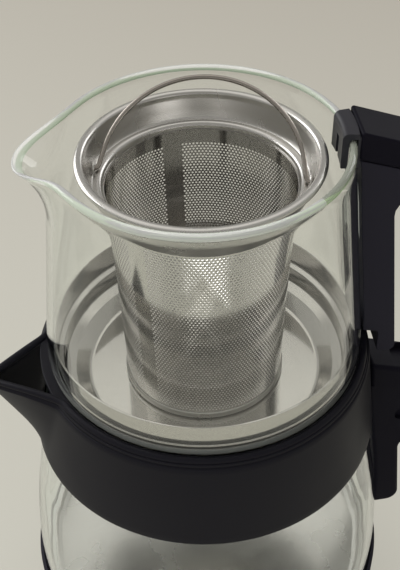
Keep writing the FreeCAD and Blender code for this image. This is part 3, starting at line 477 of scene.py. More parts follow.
BRASS = spun_steel("contact_brass", (0.75, 0.58, 0.26), 0.2, 0.35, 0.08)


# Teapot

POT_KNOTS = [(65.9, POT_FOOT), (65.5, 205.3), (60.2, 252.0), (56.0, RIM)]
POT_WALL = 2.4
LIP_SIDE = 176.5
LIP_REACH = 13.4
LIP_SPREAD = 17.0
LIP_FULLNESS = 2.45
LIP_DEPTH = 26.0
LIP_DIP = 6.0
DIP_SPREAD = LIP_SPREAD + 0.9
RIM_BEAD = 1.45
BEAD_ROOM = 3.4
FOOT_ROUNDING = 0.8
# Between these angles the rim's glass looks green, in degrees
GREEN_SIDE = (-52.0, -8.0)


def lip_share(angle, spread=LIP_SPREAD):
    """How much of the pouring lip there is at an angle, in degrees."""
    away = abs((angle - LIP_SIDE + 180.0) % 360.0 - 180.0)
    return math.exp(-((away / spread) ** LIP_FULLNESS))


def pot_point(angle, grow, height):
    """Point of the teapot's wall, with the lip pulled out and its edge dipped."""
    depth = max(0.0, (RIM - height) / LIP_DEPTH)
    fade = max(0.0, 1.0 - depth) ** 2.0
    radius = radius_at(POT_KNOTS, min(height, RIM)) + grow + LIP_REACH * fade * lip_share(angle)
    dip = LIP_DIP * lip_share(angle, DIP_SPREAD) * max(0.0, 1.0 - depth) ** 1.5
    turn = math.radians(angle)
    return (radius * math.cos(turn), radius * math.sin(turn), height - dip)


def spread_angles(count, dense, width):
    """Angles round the pot, closer together near the spout side."""
    angles = []
    for i in range(count):
        angles.append(SPOUT_SIDE + width + (360.0 - 2 * width) * i / count)
    for i in range(dense):
        angles.append(SPOUT_SIDE - width + 2 * width * i / dense)
    return sorted(a % 360.0 for a in angles)


def make_pot_glass():
    """Tapered sleeve with a rounded rim and the lip; the rim's bead has glass of its own."""
    outer = [(0.0, POT_FOOT + FOOT_ROUNDING)]
    steps = 34
    for i in range(1, steps):
        outer.append((0.0, POT_FOOT + FOOT_ROUNDING + (RIM - BEAD_ROOM - POT_FOOT) * i / steps))
    bead_middle = -POT_WALL / 2
    bead = arc((bead_middle, RIM - RIM_BEAD), RIM_BEAD, -30, 210, 14)
    inner = [(-POT_WALL, z) for r, z in reversed(outer)]
    foot = arc((-FOOT_ROUNDING, POT_FOOT + FOOT_ROUNDING), FOOT_ROUNDING, 270, 360, 3)
    heel = arc((-POT_WALL + FOOT_ROUNDING, POT_FOOT + FOOT_ROUNDING), FOOT_ROUNDING, 180, 270, 3)
    profile = foot + outer[1:] + bead + inner[:-1] + heel
    angles = spread_angles(150, 60, 42.0)
    rings = []
    for grow, height in profile:
        rings.append([pot_point(a, grow, height) for a in angles])
    piece = finish_mesh("teapot_glass", skin(rings), GLASS, "pot", ["pot_glass"], POT_TURN)
    piece.data.materials.append(RIM_GLASS)
    piece.data.materials.append(GREEN_RIM_GLASS)
    first = len(foot) + len(outer) - 1
    for i in range(first * len(angles), (first + len(bead) - 1) * len(angles)):
        face = piece.data.polygons[i]
        angle = math.degrees(math.atan2(face.center.y, face.center.x))
        face.material_index = 2 if GREEN_SIDE[0] < angle < GREEN_SIDE[1] else 1
    return piece


PAN_BEAD = 196.9


def make_pot_seal():
    """Grey ring in the foot of the glass, under the pan's bead."""
    outline = round_corners([
        (62.88, POT_FOOT + 0.15, 0.1), (63.4, POT_FOOT + 0.15, 0.15), (63.32, PAN_BEAD - 1.0, 0.15),
        (62.8, PAN_BEAD - 1.0, 0.1)])
    piece = finish_mesh("teapot_seal", turned_piece(outline), SEAL_GREY, "pot", ["pot_base_seal"],
                        POT_TURN)
    return even_normals(piece)


def make_pot_pan():
    """Pan that the glass stands in: a dished floor, a step up to the ledge and a thin upright wall."""
    wall_low = 62.8
    wall_top = 62.2
    sheet = 0.8
    bowl = 60.3
    top = POT_FOOT + 13.5
    outside = [
        (0.0, PAN_FLOOR - sheet, 0.0), (50.0, PAN_FLOOR - sheet, 3.0), (55.8, 183.4, 2.0),
        (bowl, 185.6, 1.2), (bowl, POT_FOOT - 0.6, 0.6), (wall_low, POT_FOOT + 0.1, 1.2),
        (wall_low - 0.25, PAN_BEAD - 0.7, 0.1), (wall_low + 0.1, PAN_BEAD, 0.4),
        (wall_low - 0.3, PAN_BEAD + 0.7, 0.1),
        (wall_top, top - 0.2, 0.2), (wall_top - sheet, top, 0.2),
        (wall_low - sheet - 0.1, POT_FOOT + 1.6, 1.0), (bowl - sheet, POT_FOOT + 0.4, 0.8),
        (bowl - sheet, 186.4, 1.0), (55.4, 184.2, 1.6), (49.6, PAN_FLOOR, 2.6), (0.0, PAN_FLOOR, 0.0)]
    piece = finish_mesh("teapot_pan", turned_piece(round_corners(outside)), PAN_STEEL, "pot",
                        ["pot_base_pan"], POT_TURN)
    return even_normals(piece)


def make_rim_clip():
    """Clip that arches over the rim, with a slot between its two inner prongs."""
    half = 9.0  # degrees to each side of the handle
    inside = 50.9
    wall = 2.5
    rim_out = 56.6
    low = RIM - 11.5
    top = RIM + 3.2
    under = RIM + 0.9
    outside_low = RIM - 11.0
    outside = rim_out + 2.3
    outline = round_corners([
        (inside, low, 0.5), (inside + wall, low, 0.5), (inside + wall, under, 1.6),
        (rim_out, under, 0.3), (rim_out, outside_low, 0.3), (outside, outside_low, 0.3),
        (outside, top - 1.6, 0.3), (rim_out + 0.35, top - 1.0, 0.2), (rim_out + 0.3, top, 0.3),
        (inside, top, 2.4)])
    piece = finish_mesh("rim_clip", swept_block(outline, -half, half), CLIP_GREY, "pot",
                        ["pot_rim_clip"], POT_TURN)
    slot_in = inside - 3.0
    slot_out = inside + wall + 0.6
    slot_low = low - 2.0
    slot_top = low + 8.5
    slot_turn = 3.4
    slot = [(slot_in, slot_low), (slot_out, slot_low), (slot_out, slot_top), (slot_in, slot_top)]
    cut_mesh = swept_block(slot, 0.0, slot_turn, 4)
    cutter_data = bpy.data.meshes.new("clip_slot")
    cut_mesh.to_mesh(cutter_data)
    cut_mesh.free()
    cutter_data.transform(Matrix.Rotation(math.radians(POT_TURN), 4, "Z") @ Matrix.Scale(MM, 4))
    cutter = bpy.data.objects.new("clip_slot", cutter_data)
    bpy.context.scene.collection.objects.link(cutter)
    cut = piece.modifiers.new("slot", "BOOLEAN")
    cut.object = cutter
    cut.operation = "DIFFERENCE"
    round_edges(piece, 0.45, 3)
    apply_modifiers(piece)
    bpy.data.objects.remove(cutter)
    return even_normals(piece)


HANDLE_SLOPE = 17.5
POT_SEAM_AT = 56.8
POT_CAP_TOP = RIM + 4.5
POT_SEAM = POT_CAP_TOP - 12.0
POT_ARM_DEPTH = 17.5
POT_HANDLE_HALF = 10.0
POT_POST = 15.0
GRIP_GAP = 32.5
GRIP = 18.0


def fall(distance):
    """How far the handle's sloping lines drop over a distance outwards."""
    return distance * math.tan(math.radians(HANDLE_SLOPE))


def make_pot_handle():
    """Post along the glass, sloping arm and grip, under a cap with a fine seam."""
    opening = POT_SEAM - POT_ARM_DEPTH
    post_low = POT_FOOT - 8.7
    grip_low = POT_FOOT + 2.5
    post_out = POT_SEAM_AT + POT_POST
    grip_in = post_out + GRIP_GAP
    grip_out = grip_in + GRIP
    clear_bead = 73.2
    glass_gap = 0.6
    post_lean = 0.12
    grip_lean = 0.04
    steps = 12
    inner_edge = []
    for i in range(steps + 1):
        height = POT_SEAM - 1.0 - (POT_SEAM - 1.0 - COLLAR_TOP - 2.5) * i / steps
        inner_edge.append((radius_at(POT_KNOTS, height) + glass_gap, height, 0.0))
    corners = inner_edge + [
        (clear_bead, COLLAR_TOP + 1.5, 2.0), (clear_bead + 0.2, post_low, 2.2),
        (post_out + (opening - post_low) * post_lean, post_low, 3.2), (post_out, opening, 7.0),
        (grip_in, opening - fall(GRIP_GAP) * 0.5, 9.0),
        (grip_in + (opening - grip_low) * grip_lean, grip_low, 6.0),
        (grip_out + (opening - grip_low) * grip_lean, grip_low, 6.0),
        (grip_out, POT_SEAM - fall(grip_out - POT_SEAM_AT), 0.0), (POT_SEAM_AT, POT_SEAM, 0.0)]
    body = finish_mesh("teapot_handle", slab(round_corners(corners), POT_HANDLE_HALF), BLACK, "pot",
                       ["pot_handle_body"], POT_TURN)
    round_edges(body, 1.2, 3)
    apply_modifiers(body)
    even_normals(body)
    gap = 0.25
    top_end = POT_CAP_TOP - fall(grip_out - POT_SEAM_AT)
    cap_corners = round_corners([
        (POT_SEAM_AT, POT_SEAM + gap, 0.0),
        (grip_out, POT_SEAM + gap - fall(grip_out - POT_SEAM_AT), 0.0),
        (grip_out - 1.0, top_end - 1.0, 8.0), (POT_SEAM_AT, POT_CAP_TOP, 1.0)])
    cap = finish_mesh("teapot_handle_cap", slab(cap_corners, POT_HANDLE_HALF), CAP_BLACK, "pot",
                      ["pot_handle_cap"], POT_TURN)
    round_edges(cap, 0.9, 3)
    apply_modifiers(cap)
    even_normals(cap)


# Infuser

FUNNEL_RIM = 286.4
CUP_KNOTS = [(33.3, CUP_BOTTOM), (34.0, 212.0), (35.1, 242.0), (36.45, 266.0), (36.6, CUP_TOP)]
CUP_SHEET = 0.4
CUP_RADIUS = 35.0
HOLE_PITCH = 1.43
HOLE_RADIUS = 0.49
HOLE_ROWS = 68
HOLE_BOTTOM = 182.8
STRIP_WIDTH = 8.0
STRIP_ANGLES = (99.6, 219.6, 339.6)


def make_infuser_rim():
    """Funnel: rolled rim, sloping wall, a ridge and a groove, then the neck that holds the cup."""
    middle = 44.85
    half_width = 1.75
    half_height = 1.35
    roll_start = -140
    roll_sweep = 330
    steps = 20
    rolled = []
    for i in range(steps + 1):
        turn = math.radians(roll_start + roll_sweep * i / steps)
        rolled.append((middle + half_width * math.cos(turn),
                       FUNNEL_RIM - half_height + half_height * math.sin(turn)))
    inside = smooth_through([(43.05, 283.6), (42.3, 280.8), (41.6, 278.2), (41.0, 276.4)], 4)
    inside += [(40.75, 275.7), (40.5, 275.3), (40.2, 275.25), (39.9, 275.5)]
    inside += arc((38.5, 274.1), 1.75, 55, 165, 8)
    inside += [(36.75, 273.4), (36.7, 268.4)]
    outside = [(37.2, 268.4), (37.3, 273.2), (37.9, 274.3), (38.7, 274.8), (39.5, 274.5), (40.3, 274.6),
               (41.1, 275.0), (41.6, 276.2), (42.2, 278.4), (42.8, 280.8), (43.3, 282.6)]
    profile = outside + rolled + inside
    return finish_mesh("infuser_funnel", turned_piece(profile), FUNNEL_STEEL, "infuser", ["infuser_rim"],
                       0.0)


def on_cup(around, height):
    """Point on the cup's outside; around is in turns."""
    radius = radius_at(CUP_KNOTS, height)
    angle = 2 * math.pi * around
    return (radius * math.cos(angle), radius * math.sin(angle), height)


def in_strip(around):
    """True inside one of the three plain strips; around is in turns."""
    half = STRIP_WIDTH / 2 / CUP_RADIUS
    for middle in STRIP_ANGLES:
        away = abs((around * 360.0 - middle + 180.0) % 360.0 - 180.0)
        if math.radians(away) < half:
            return True
    return False


def make_infuser_cup():
    """Cup of six-sided cells, each with a hole in it but for the three plain strips."""
    columns = round(2 * math.pi * CUP_RADIUS / HOLE_PITCH)
    pitch = HOLE_PITCH
    row_height = pitch * math.sqrt(3) / 2
    tall = pitch / math.sqrt(3)
    bm = bmesh.new()
    corners = {}

    def corner(step, height):
        """Shared corner; step counts half pitches round the cup."""
        key = (step % (2 * columns), round(height, 3))
        if key not in corners:
            corners[key] = bm.verts.new(on_cup(step / (2 * columns), height))
        return corners[key]

    for row in range(HOLE_ROWS):
        middle = HOLE_BOTTOM + tall + row * row_height
        for column in range(columns):
            centre = 2 * column + row % 2
            ring = [(centre, middle - tall), (centre + 1, middle - tall / 2),
                    (centre + 1, middle + tall / 2), (centre, middle + tall),
                    (centre - 1, middle + tall / 2), (centre - 1, middle - tall / 2)]
            cell = [corner(step, height) for step, height in ring]
            if in_strip(centre / (2 * columns)):
                bm.faces.new(cell)
                continue
            hole = []
            for k in range(6):
                angle = math.radians(-90 + 60 * k)
                turn = (centre + 2 * HOLE_RADIUS / pitch * math.cos(angle)) / (2 * columns)
                hole.append(bm.verts.new(on_cup(turn, middle + HOLE_RADIUS * math.sin(angle))))
            for k in range(6):
                n = (k + 1) % 6
                bm.faces.new((cell[k], cell[n], hole[n], hole[k]))
    top_middle = HOLE_BOTTOM + tall + (HOLE_ROWS - 1) * row_height
    top_odd = (HOLE_ROWS - 1) % 2
    ring_low = [bm.verts.new(on_cup(s / (2 * columns), CUP_BOTTOM)) for s in range(2 * columns)]
    ring_high = [bm.verts.new(on_cup(s / (2 * columns), CUP_TOP)) for s in range(2 * columns)]
    for step in range(2 * columns):
        n = step + 1
        low_a = HOLE_BOTTOM + (0.0 if step % 2 == 0 else tall / 2)
        low_b = HOLE_BOTTOM + (0.0 if n % 2 == 0 else tall / 2)
        bm.faces.new((ring_low[step], ring_low[n % (2 * columns)], corner(n, low_b),
                      corner(step, low_a)))
        high_a = top_middle + (tall if step % 2 == top_odd else tall / 2)
        high_b = top_middle + (tall if n % 2 == top_odd else tall / 2)
        bm.faces.new((corner(step, high_a), corner(n, high_b), ring_high[n % (2 * columns)],
                      ring_high[step]))
    bmesh.ops.recalc_face_normals(bm, faces=bm.faces)
    piece = finish_mesh("infuser_cup_perforated", bm, CUP_STEEL, "infuser", ["infuser_cup"], 0.0)
    sheet = piece.modifiers.new("sheet", "SOLIDIFY")
    sheet.thickness = CUP_SHEET * MM
    sheet.offset = -1.0
    apply_modifiers(piece)
    piece.data.set_sharp_from_angle(angle=math.radians(40))
    return piece


def make_infuser_base():
    """Plain disc with a raised ring and an edge that holds the cup."""
    low = PAN_FLOOR + 0.3
    outline = round_corners([
        (0.0, low + 0.3, 0.0), (8.0, low + 0.3, 0.4), (9.0, low + 0.7, 0.4), (17.0, low + 0.7, 0.4),
        (18.0, low + 0.3, 0.4), (30.0, low + 0.3, 0.4), (31.0, low, 0.3), (34.0, low, 0.8),
        (33.9, CUP_BOTTOM - 0.5, 0.3), (33.4, CUP_BOTTOM - 0.1, 0.2), (32.9, CUP_BOTTOM - 0.5, 0.2),
        (32.6, low + 1.0, 0.5), (18.4, low + 0.8, 0.4), (17.4, low + 1.2, 0.4), (8.6, low + 1.2, 0.4),
        (7.6, low + 0.8, 0.4), (0.0, low + 0.8, 0.0)])
    piece = finish_mesh("infuser_foot", turned_piece(outline), FUNNEL_STEEL, "infuser", ["infuser_base"],
                        0.0)
    return even_normals(piece)


def make_bail():
    """Wire hoop whose ends turn out through the tabs; it rests folded back."""
    radius = 38.4
    wire = 0.92
    end = 41.6
    half = [(end, 0.0), (40.4, 0.0), (39.7, 0.15), (39.1, 0.6), (38.75, 1.4), (38.55, 2.4)]
    arch = []
    steps = 48
    for i in range(4, steps - 3):
        angle = math.pi * i / steps
        arch.append((radius * math.cos(angle), radius * math.sin(angle)))
    outline = half + arch + [(-x, rise) for x, rise in reversed(half)]
    lean = math.radians(BAIL_LEAN)
    path = [(x, rise * math.sin(lean), BAIL_PIVOT + rise * math.cos(lean)) for x, rise in outline]
    return finish_mesh("bail_hoop", tube(path, wire), WIRE_STEEL, "bail", ["bail_wire"], INFUSER_TURN)


def make_lugs():
    """Two small tabs inside the funnel that carry the bail's ends."""
    half = 2.3
    low = BAIL_PIVOT - 3.4
    inside = 40.2
    outside = 41.0
    outline = arc((0.0, BAIL_PIVOT), half, 0, 180, 12) + [(-half, low), (half, low)]
    bm = bmesh.new()
    for side in (-1.0, 1.0):
        near = [bm.verts.new((side * inside, y, z)) for y, z in outline]
        far = [bm.verts.new((side * outside, y, z)) for y, z in outline]
        bm.faces.new(near)
        bm.faces.new(list(reversed(far)))
        for i in range(len(outline)):
            k = (i + 1) % len(outline)
            bm.faces.new((near[i], near[k], far[k], far[i]))
    bmesh.ops.recalc_face_normals(bm, faces=bm.faces)
    return finish_mesh("bail_tabs", bm, FUNNEL_STEEL, "infuser", ["bail_lugs"], INFUSER_TURN)


# Kettle

KETTLE_KNOTS = [(83.6, 52.0), (84.1, 66.0), (83.4, 84.0), (81.2, 104.0), (77.4, 126.0), (73.6, 148.0),
                (72.0, 162.0)]
KETTLE_WALL = 2.6
COLLAR_LOW_RADIUS = 75.7
COLLAR_HIGH_RADIUS = 70.5
COLLAR_STRAIGHT = 5.0
# The beak's sides would meet at the apex; angles round the axis are in degrees
SPOUT_TURN = 183.6
SPOUT_APEX = 100.0
SPOUT_HALF_POINT = 32.5
SPOUT_SKEW = 3.7
SPOUT_SKEW_BLEND = 4.0
SPOUT_TIP_ROUNDING = 2.1
SPOUT_ROOT_ROUNDING = 1.2
SPOUT_SPREAD = 8.1
SPOUT_ROOT_SPREAD = 4.4
SPOUT_FULLNESS = 1.67
SPOUT_KEEL = 153.0
SPOUT_KEEL_CURVE = 0.95
SPOUT_DROP = 3.2
GROOVE_END = 22.0
GROOVE_FADE = 1.3


def wall_radius(height):
    """Outside of the collar, away from the spout."""
    narrowing = COLLAR_HIGH_RADIUS - COLLAR_LOW_RADIUS
    tall = COLLAR_TOP - COLLAR_STRAIGHT - COLLAR_BOTTOM
    return COLLAR_LOW_RADIUS + narrowing * (height - COLLAR_BOTTOM) / tall


def spout_share(angle, spread):
    """How much of the spout there is at an angle, in degrees."""
    away = abs((angle - SPOUT_TURN + 180.0) % 360.0 - 180.0)
    return math.exp(-((away / spread) ** SPOUT_FULLNESS))


def spout_level(height):
    """Nought at the keel's lower end, one at the rim."""
    return min(max((height - SPOUT_KEEL) / (COLLAR_TOP - SPOUT_KEEL), 0.0), 1.0)


def spout_reach(angle, level):
    """How far the beak stands out of the round wall: two straight sides that meet in a rounded tip."""
    spread = SPOUT_ROOT_SPREAD + (SPOUT_SPREAD - SPOUT_ROOT_SPREAD) * level
    away = (angle - SPOUT_TURN + 180.0) % 360.0 - 180.0
    point = math.radians(SPOUT_HALF_POINT + SPOUT_SKEW * math.tanh(away / SPOUT_SKEW_BLEND))
    aside = math.radians(math.hypot(away * SPOUT_SPREAD / spread, SPOUT_TIP_ROUNDING))
    side = SPOUT_APEX * math.sin(point) / math.sin(min(point + aside, math.pi / 2))
    excess = side - wall_radius(COLLAR_TOP)
    return 0.5 * (excess + math.hypot(excess, SPOUT_ROOT_ROUNDING)) * level ** SPOUT_KEEL_CURVE


def collar_outline(angle, height):
    """Radius of the collar's outside with its beak."""
    return wall_radius(height) + spout_reach(angle, spout_level(height))


def collar_ring(angles, offset, height, groove):
    """Ring of points square to the collar's outline; a groove runs out beside the spout."""
    points = []
    for angle in angles:
        step = 0.25
        here = collar_outline(angle, height)
        slope = (collar_outline(angle + step, height) - collar_outline(angle - step, height))
        slope /= math.radians(2 * step)
        turn = math.radians(angle)
        radial = Vector((math.cos(turn), math.sin(turn)))
        tangent = radial * slope + Vector((-math.sin(turn), math.cos(turn))) * here
        square = Vector((tangent.y, -tangent.x)).normalized()
        cut = groove * (1.0 - min(1.0, GROOVE_FADE * spout_share(angle, GROOVE_END)))
        place = radial * here + square * (offset - cut)
        drop = SPOUT_DROP * spout_share(angle, SPOUT_SPREAD) * spout_level(height) ** 2
        points.append((place.x, place.y, height - drop))
    return points


def make_collar():
    """Collar with its groove, beaded rim and open beak, and the seat inside it for the teapot."""
    bead_low = COLLAR_TOP - 3.8
    bead = arc((-2.5, COLLAR_TOP - 2.0), 1.5, -40, 200, 16)
    profile = [(-2.2, COLLAR_BOTTOM + 0.7, 0), (-1.9, COLLAR_BOTTOM + 0.1, 0), (-0.7, COLLAR_BOTTOM, 0),
               (-0.15, COLLAR_BOTTOM + 0.3, 0), (0.0, COLLAR_BOTTOM + 0.9, 0)]
    for i in range(1, 16):
        profile.append((0.0, COLLAR_BOTTOM + 0.9 + (bead_low - 1.6 - COLLAR_BOTTOM) * i / 15, 0))
    profile += [(0.0, bead_low - 0.5, 0.2), (0.0, bead_low - 0.35, 0.85), (-0.6, bead_low + 0.3, 0.5)]
    profile += [(offset, height, 0) for offset, height in bead]
    profile += [(-3.0, COLLAR_TOP - 3.9, 0)]
    for i in range(12):
        profile.append((-2.3, COLLAR_TOP - 4.9 - (COLLAR_TOP - 6.2 - COLLAR_BOTTOM) * i / 12, 0))
    angles = spread_angles(150, 120, 30.0)
    rings = [collar_ring(angles, offset, height, groove) for offset, height, groove in profile]
    collar = finish_mesh("collar_and_spout", skin(rings), COLLAR_BLACK, "kettle", ["kettle_collar"], 0.0)
    seat = round_corners([(61.5, 190.2, 0.4), (69.8, 190.2, 0.2), (69.8, 193.1, 0.5), (61.5, 193.1, 0.8)])
    ledge = finish_mesh("collar_seat", turned_piece(seat), COLLAR_BLACK, "kettle", [], 0.0)
    even_normals(ledge)
    return collar


def make_kettle_glass():
    line = smooth_through(KETTLE_KNOTS, 8)
    inner = [(r - KETTLE_WALL, z) for r, z in reversed(line)]
    return finish_mesh("kettle_wall", turned_piece(line + inner), GLASS, "kettle", ["kettle_glass"],
                       0.0)


# Pieces that keep the shape they have in the frame

KEPT = {
    "base_shell": BLACK, "base_cover": BLACK, "rubber_feet": RUBBER, "base_screws": SCREW_STEEL,
    "cord_gland": BLACK, "base_connector": GREY, "base_contacts": BRASS, "control_board": BOARD,
    "tact_switches": GREY, "button_boil": BUTTON_BLACK, "button_brew": BUTTON_BLACK,
    "button_keep_warm": BUTTON_BLACK, "light_strip": LIGHT_STRIP, "kettle_housing": BLACK,
    "heater_plate": PLATE_STEEL, "heater_gasket": SILICONE, "heating_element": PLATE_STEEL,
    "thermostat": GREY, "kettle_socket": GREY, "socket_contacts": BRASS, "kettle_cover": BLACK,
    "kettle_screws": SCREW_STEEL, "collar_seal": SILICONE, "kettle_handle_body": CAP_BLACK,
    "kettle_handle_cap": CAP_BLACK, "kettle_handle_screws": SCREW_STEEL,
    "pot_handle_screws": SCREW_STEEL, "pot_handle_pad": SILICONE,
}
FINE_ROUNDING = 0.2
EDGE_ROUNDING = {"base_shell": 0.8, "kettle_handle_cap": 0.5, "kettle_handle_body": 0.4,
                 "kettle_housing": 0.5}


def dress_kept_pieces():
    for name, material in KEPT.items():
        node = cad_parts[name]
        node.data.materials.clear()
        node.data.materials.append(material)
        node.data.shade_smooth()
        weld = node.modifiers.new("weld", "WELD")
        weld.merge_threshold = 0.002 * MM
        round_edges(node, EDGE_ROUNDING.get(name, FINE_ROUNDING))
        even_normals(node)


# Floor, light and camera

# The floor's colour runs from the near colour to the far one along the third value: a painted shade that
# darkens the floor towards the far right
FLOOR_LIT_NEAR = (0.57, 0.557, 0.49)
FLOOR_SHADED_FAR = (0.44, 0.413, 0.358)
FLOOR_SHADE_AWAY = (0.5, 0.85, 0.0)
FLOOR_OWN_COLOUR = 0.7
SKY_COLOUR = (1.0, 0.98, 0.93)
SKY_DIM = 0.37
SKY_BRIGHT = 0.92
LIGHT_TARGET = (0.0, 0.0, 0.2)
# Name, place in metres, width and height in metres, watts, and whether shiny pieces mirror it
LAMPS = (
    ("window", (-1.25, 1.1, 0.85), (1.5, 1.0), 17.0, True),
    ("right", (1.3, 1.1, 0.85), (0.8, 0.9), 5.0, True),
    ("back_box", (-0.15, 0.75, 1.9), (1.6, 1.6), 5.0, False),
    ("front_left", (-0.9, -1.8, 0.7), (1.4, 1.4), 17.0, False),
    ("overhead", (-0.2, 0.0, 2.2), (3.0, 3.0), 17.0, False),
)
# The photograph's focal length and height, in pixels, and the sensor they are laid on
FOCAL_PIXELS = 967.0
PICTURE_HEIGHT = 570.0
SENSOR = 36.0
CAMERA_PLACE = (-47.4, -291.5, RIM + 192.0)


def seen_rays(nodes, links):
    """The light path, and one for rays from the camera or through glass, else nought."""
    path = nodes.new("ShaderNodeLightPath")
    first = nodes.new("ShaderNodeMath")
    first.operation = "MAXIMUM"
    links.new(path.outputs["Is Camera Ray"], first.inputs[0])
    links.new(path.outputs["Is Transmission Ray"], first.inputs[1])
    return path, first


def make_stage():
    """Pale floor with painted shade that darkens it towards the far right; part of what is seen of it is
    its own colour, so that shadows stay soft.
    """
    bm = bmesh.new()
    bmesh.ops.create_grid(bm, x_segments=1, y_segments=1, size=6.0)
    mesh = bpy.data.meshes.new("floor")
    bm.to_mesh(mesh)
    bm.free()
    floor = bpy.data.objects.new("floor", mesh)
    bpy.context.scene.collection.objects.link(floor)
    material, shader = plain_material("pale_floor", FLOOR_LIT_NEAR, 0.7)
    shader.inputs["Specular IOR Level"].default_value = 0.2
    nodes = material.node_tree.nodes
    links = material.node_tree.links
    # Painted shade: the floor's colour darkens from the near left to the far right
    place = nodes.new("ShaderNodeTexCoord")
    across = nodes.new("ShaderNodeVectorMath")
    across.operation = "DOT_PRODUCT"
    across.inputs[1].default_value = FLOOR_SHADE_AWAY
    links.new(place.outputs["Object"], across.inputs[0])
    spread = nodes.new("ShaderNodeMapRange")
    spread.inputs["From Min"].default_value = -0.05
    spread.inputs["From Max"].default_value = 0.75
    links.new(across.outputs["Value"], spread.inputs["Value"])
    color = nodes.new("ShaderNodeMix")
    color.data_type = "RGBA"
    color.inputs["A"].default_value = (*FLOOR_LIT_NEAR, 1.0)
    color.inputs["B"].default_value = (*FLOOR_SHADED_FAR, 1.0)
    links.new(spread.outputs["Result"], color.inputs["Factor"])
    links.new(color.outputs["Result"], shader.inputs["Base Color"])
    glow = nodes.new("ShaderNodeEmission")
    links.new(color.outputs["Result"], glow.inputs["Color"])
    path, seen = seen_rays(nodes, links)
    mirrored = nodes.new("ShaderNodeMath")
    mirrored.operation = "MAXIMUM"
    links.new(seen.outputs["Value"], mirrored.inputs[0])
    links.new(path.outputs["Is Glossy Ray"], mirrored.inputs[1])
    share = nodes.new("ShaderNodeMath")
    share.operation = "MULTIPLY"
    share.inputs[1].default_value = FLOOR_OWN_COLOUR
    links.new(mirrored.outputs["Value"], share.inputs[0])
    mix = nodes.new("ShaderNodeMixShader")
    links.new(share.outputs["Value"], mix.inputs["Fac"])
    links.new(shader.outputs["BSDF"], mix.inputs[1])
    links.new(glow.outputs["Emission"], mix.inputs[2])
    links.new(mix.outputs["Shader"], nodes["Material Output"].inputs["Surface"])
    material.cycles.emission_sampling = "NONE"
    mesh.materials.append(material)


def add_lamp(name, place, size, power, mirrored):
    """Soft box that faces the object; glass never shows it, and steel only where it is mirrored."""
    lamp = bpy.data.lights.new(name, "AREA")
    lamp.shape = "RECTANGLE"
    lamp.size = size[0]
    lamp.size_y = size[1]
    lamp.energy = power
    holder = bpy.data.objects.new(name, lamp)
    holder.location = place
    ahead = Vector(LIGHT_TARGET) - Vector(place)
    holder.rotation_euler = ahead.to_track_quat("-Z", "Y").to_euler()
    holder.visible_transmission = False
    holder.visible_glossy = mirrored
    bpy.context.scene.collection.objects.link(holder)


def fade_along(nodes, links, place, direction, start, end):
    """Smooth rise from nought to one along a direction of the sky."""
    along = nodes.new("ShaderNodeVectorMath")
    along.operation = "DOT_PRODUCT"
    along.inputs[1].default_value = direction
    links.new(place.outputs["Generated"], along.inputs[0])
    rise = nodes.new("ShaderNodeMapRange")
    rise.interpolation_type = "SMOOTHSTEP"
    rise.inputs["From Min"].default_value = start
    rise.inputs["From Max"].default_value = end
    links.new(along.outputs["Value"], rise.inputs["Value"])
    return rise


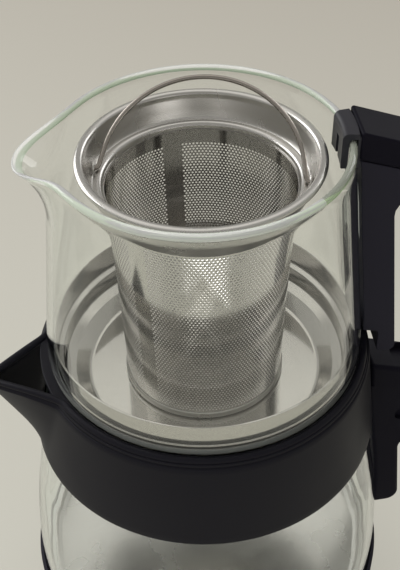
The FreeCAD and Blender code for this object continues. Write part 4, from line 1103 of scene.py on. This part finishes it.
def make_light():
    """Sky that is bright high up behind the object and dim elsewhere, and the soft boxes."""
    world = bpy.data.worlds.new("studio")
    bpy.context.scene.world = world
    world.use_nodes = True
    nodes = world.node_tree.nodes
    links = world.node_tree.links
    sky = nodes["Background"]
    sky.inputs["Color"].default_value = (*SKY_COLOUR, 1.0)
    place = nodes.new("ShaderNodeTexCoord")
    high = fade_along(nodes, links, place, (0.0, 0.0, 1.0), 0.64, 0.75)
    back = fade_along(nodes, links, place, (-0.1, 1.0, 0.2), -0.15, 0.45)
    both = nodes.new("ShaderNodeMath")
    both.operation = "MULTIPLY"
    links.new(high.outputs["Result"], both.inputs[0])
    links.new(back.outputs["Result"], both.inputs[1])
    level = nodes.new("ShaderNodeMapRange")
    level.inputs["To Min"].default_value = SKY_DIM
    level.inputs["To Max"].default_value = SKY_BRIGHT
    links.new(both.outputs["Value"], level.inputs["Value"])
    links.new(level.outputs["Result"], sky.inputs["Strength"])
    # The backdrop takes the colour of the floor's darker far side, where the painted shade is deepest
    pale = nodes.new("ShaderNodeBackground")
    pale.inputs["Color"].default_value = (*FLOOR_SHADED_FAR, 1.0)
    path, seen = seen_rays(nodes, links)
    direct = nodes.new("ShaderNodeMath")
    direct.operation = "SUBTRACT"
    direct.use_clamp = True
    links.new(seen.outputs["Value"], direct.inputs[0])
    links.new(path.outputs["Glossy Depth"], direct.inputs[1])
    mix = nodes.new("ShaderNodeMixShader")
    links.new(direct.outputs["Value"], mix.inputs["Fac"])
    links.new(sky.outputs["Background"], mix.inputs[1])
    links.new(pale.outputs["Background"], mix.inputs[2])
    links.new(mix.outputs["Shader"], nodes["World Output"].inputs["Surface"])
    for name, place, size, power, mirrored in LAMPS:
        add_lamp(name, place, size, power, mirrored)


def make_camera():
    """Camera at the photograph's height, heading, tilt and lens."""
    heading = math.radians(9.0)
    tilt = math.radians(41.6)
    roll = math.radians(1.13)
    place = Vector(CAMERA_PLACE) * MM
    ahead = Vector((math.sin(heading), math.cos(heading), 0.0)) * math.cos(tilt)
    ahead.z = -math.sin(tilt)
    right = Vector((math.cos(heading), -math.sin(heading), 0.0))
    up = right.cross(ahead)
    level_right = right * math.cos(roll) - up * math.sin(roll)
    level_up = right * math.sin(roll) + up * math.cos(roll)
    data = bpy.data.cameras.new("camera")
    data.sensor_width = SENSOR
    data.lens = SENSOR * FOCAL_PIXELS / PICTURE_HEIGHT
    data.clip_start = 0.01
    data.clip_end = 50.0
    camera = bpy.data.objects.new("camera", data)
    axes = Matrix((level_right, level_up, -ahead)).transposed().to_4x4()
    camera.matrix_world = Matrix.Translation(place) @ axes
    bpy.context.scene.collection.objects.link(camera)
    bpy.context.scene.camera = camera


make_pot_glass()
make_pot_pan()
make_pot_seal()
make_rim_clip()
make_pot_handle()
make_infuser_rim()
make_infuser_cup()
make_infuser_base()
make_bail()
make_lugs()
make_collar()
make_kettle_glass()
dress_kept_pieces()
make_stage()
make_light()
make_camera()
bpy.context.scene.view_settings.view_transform = "Standard"
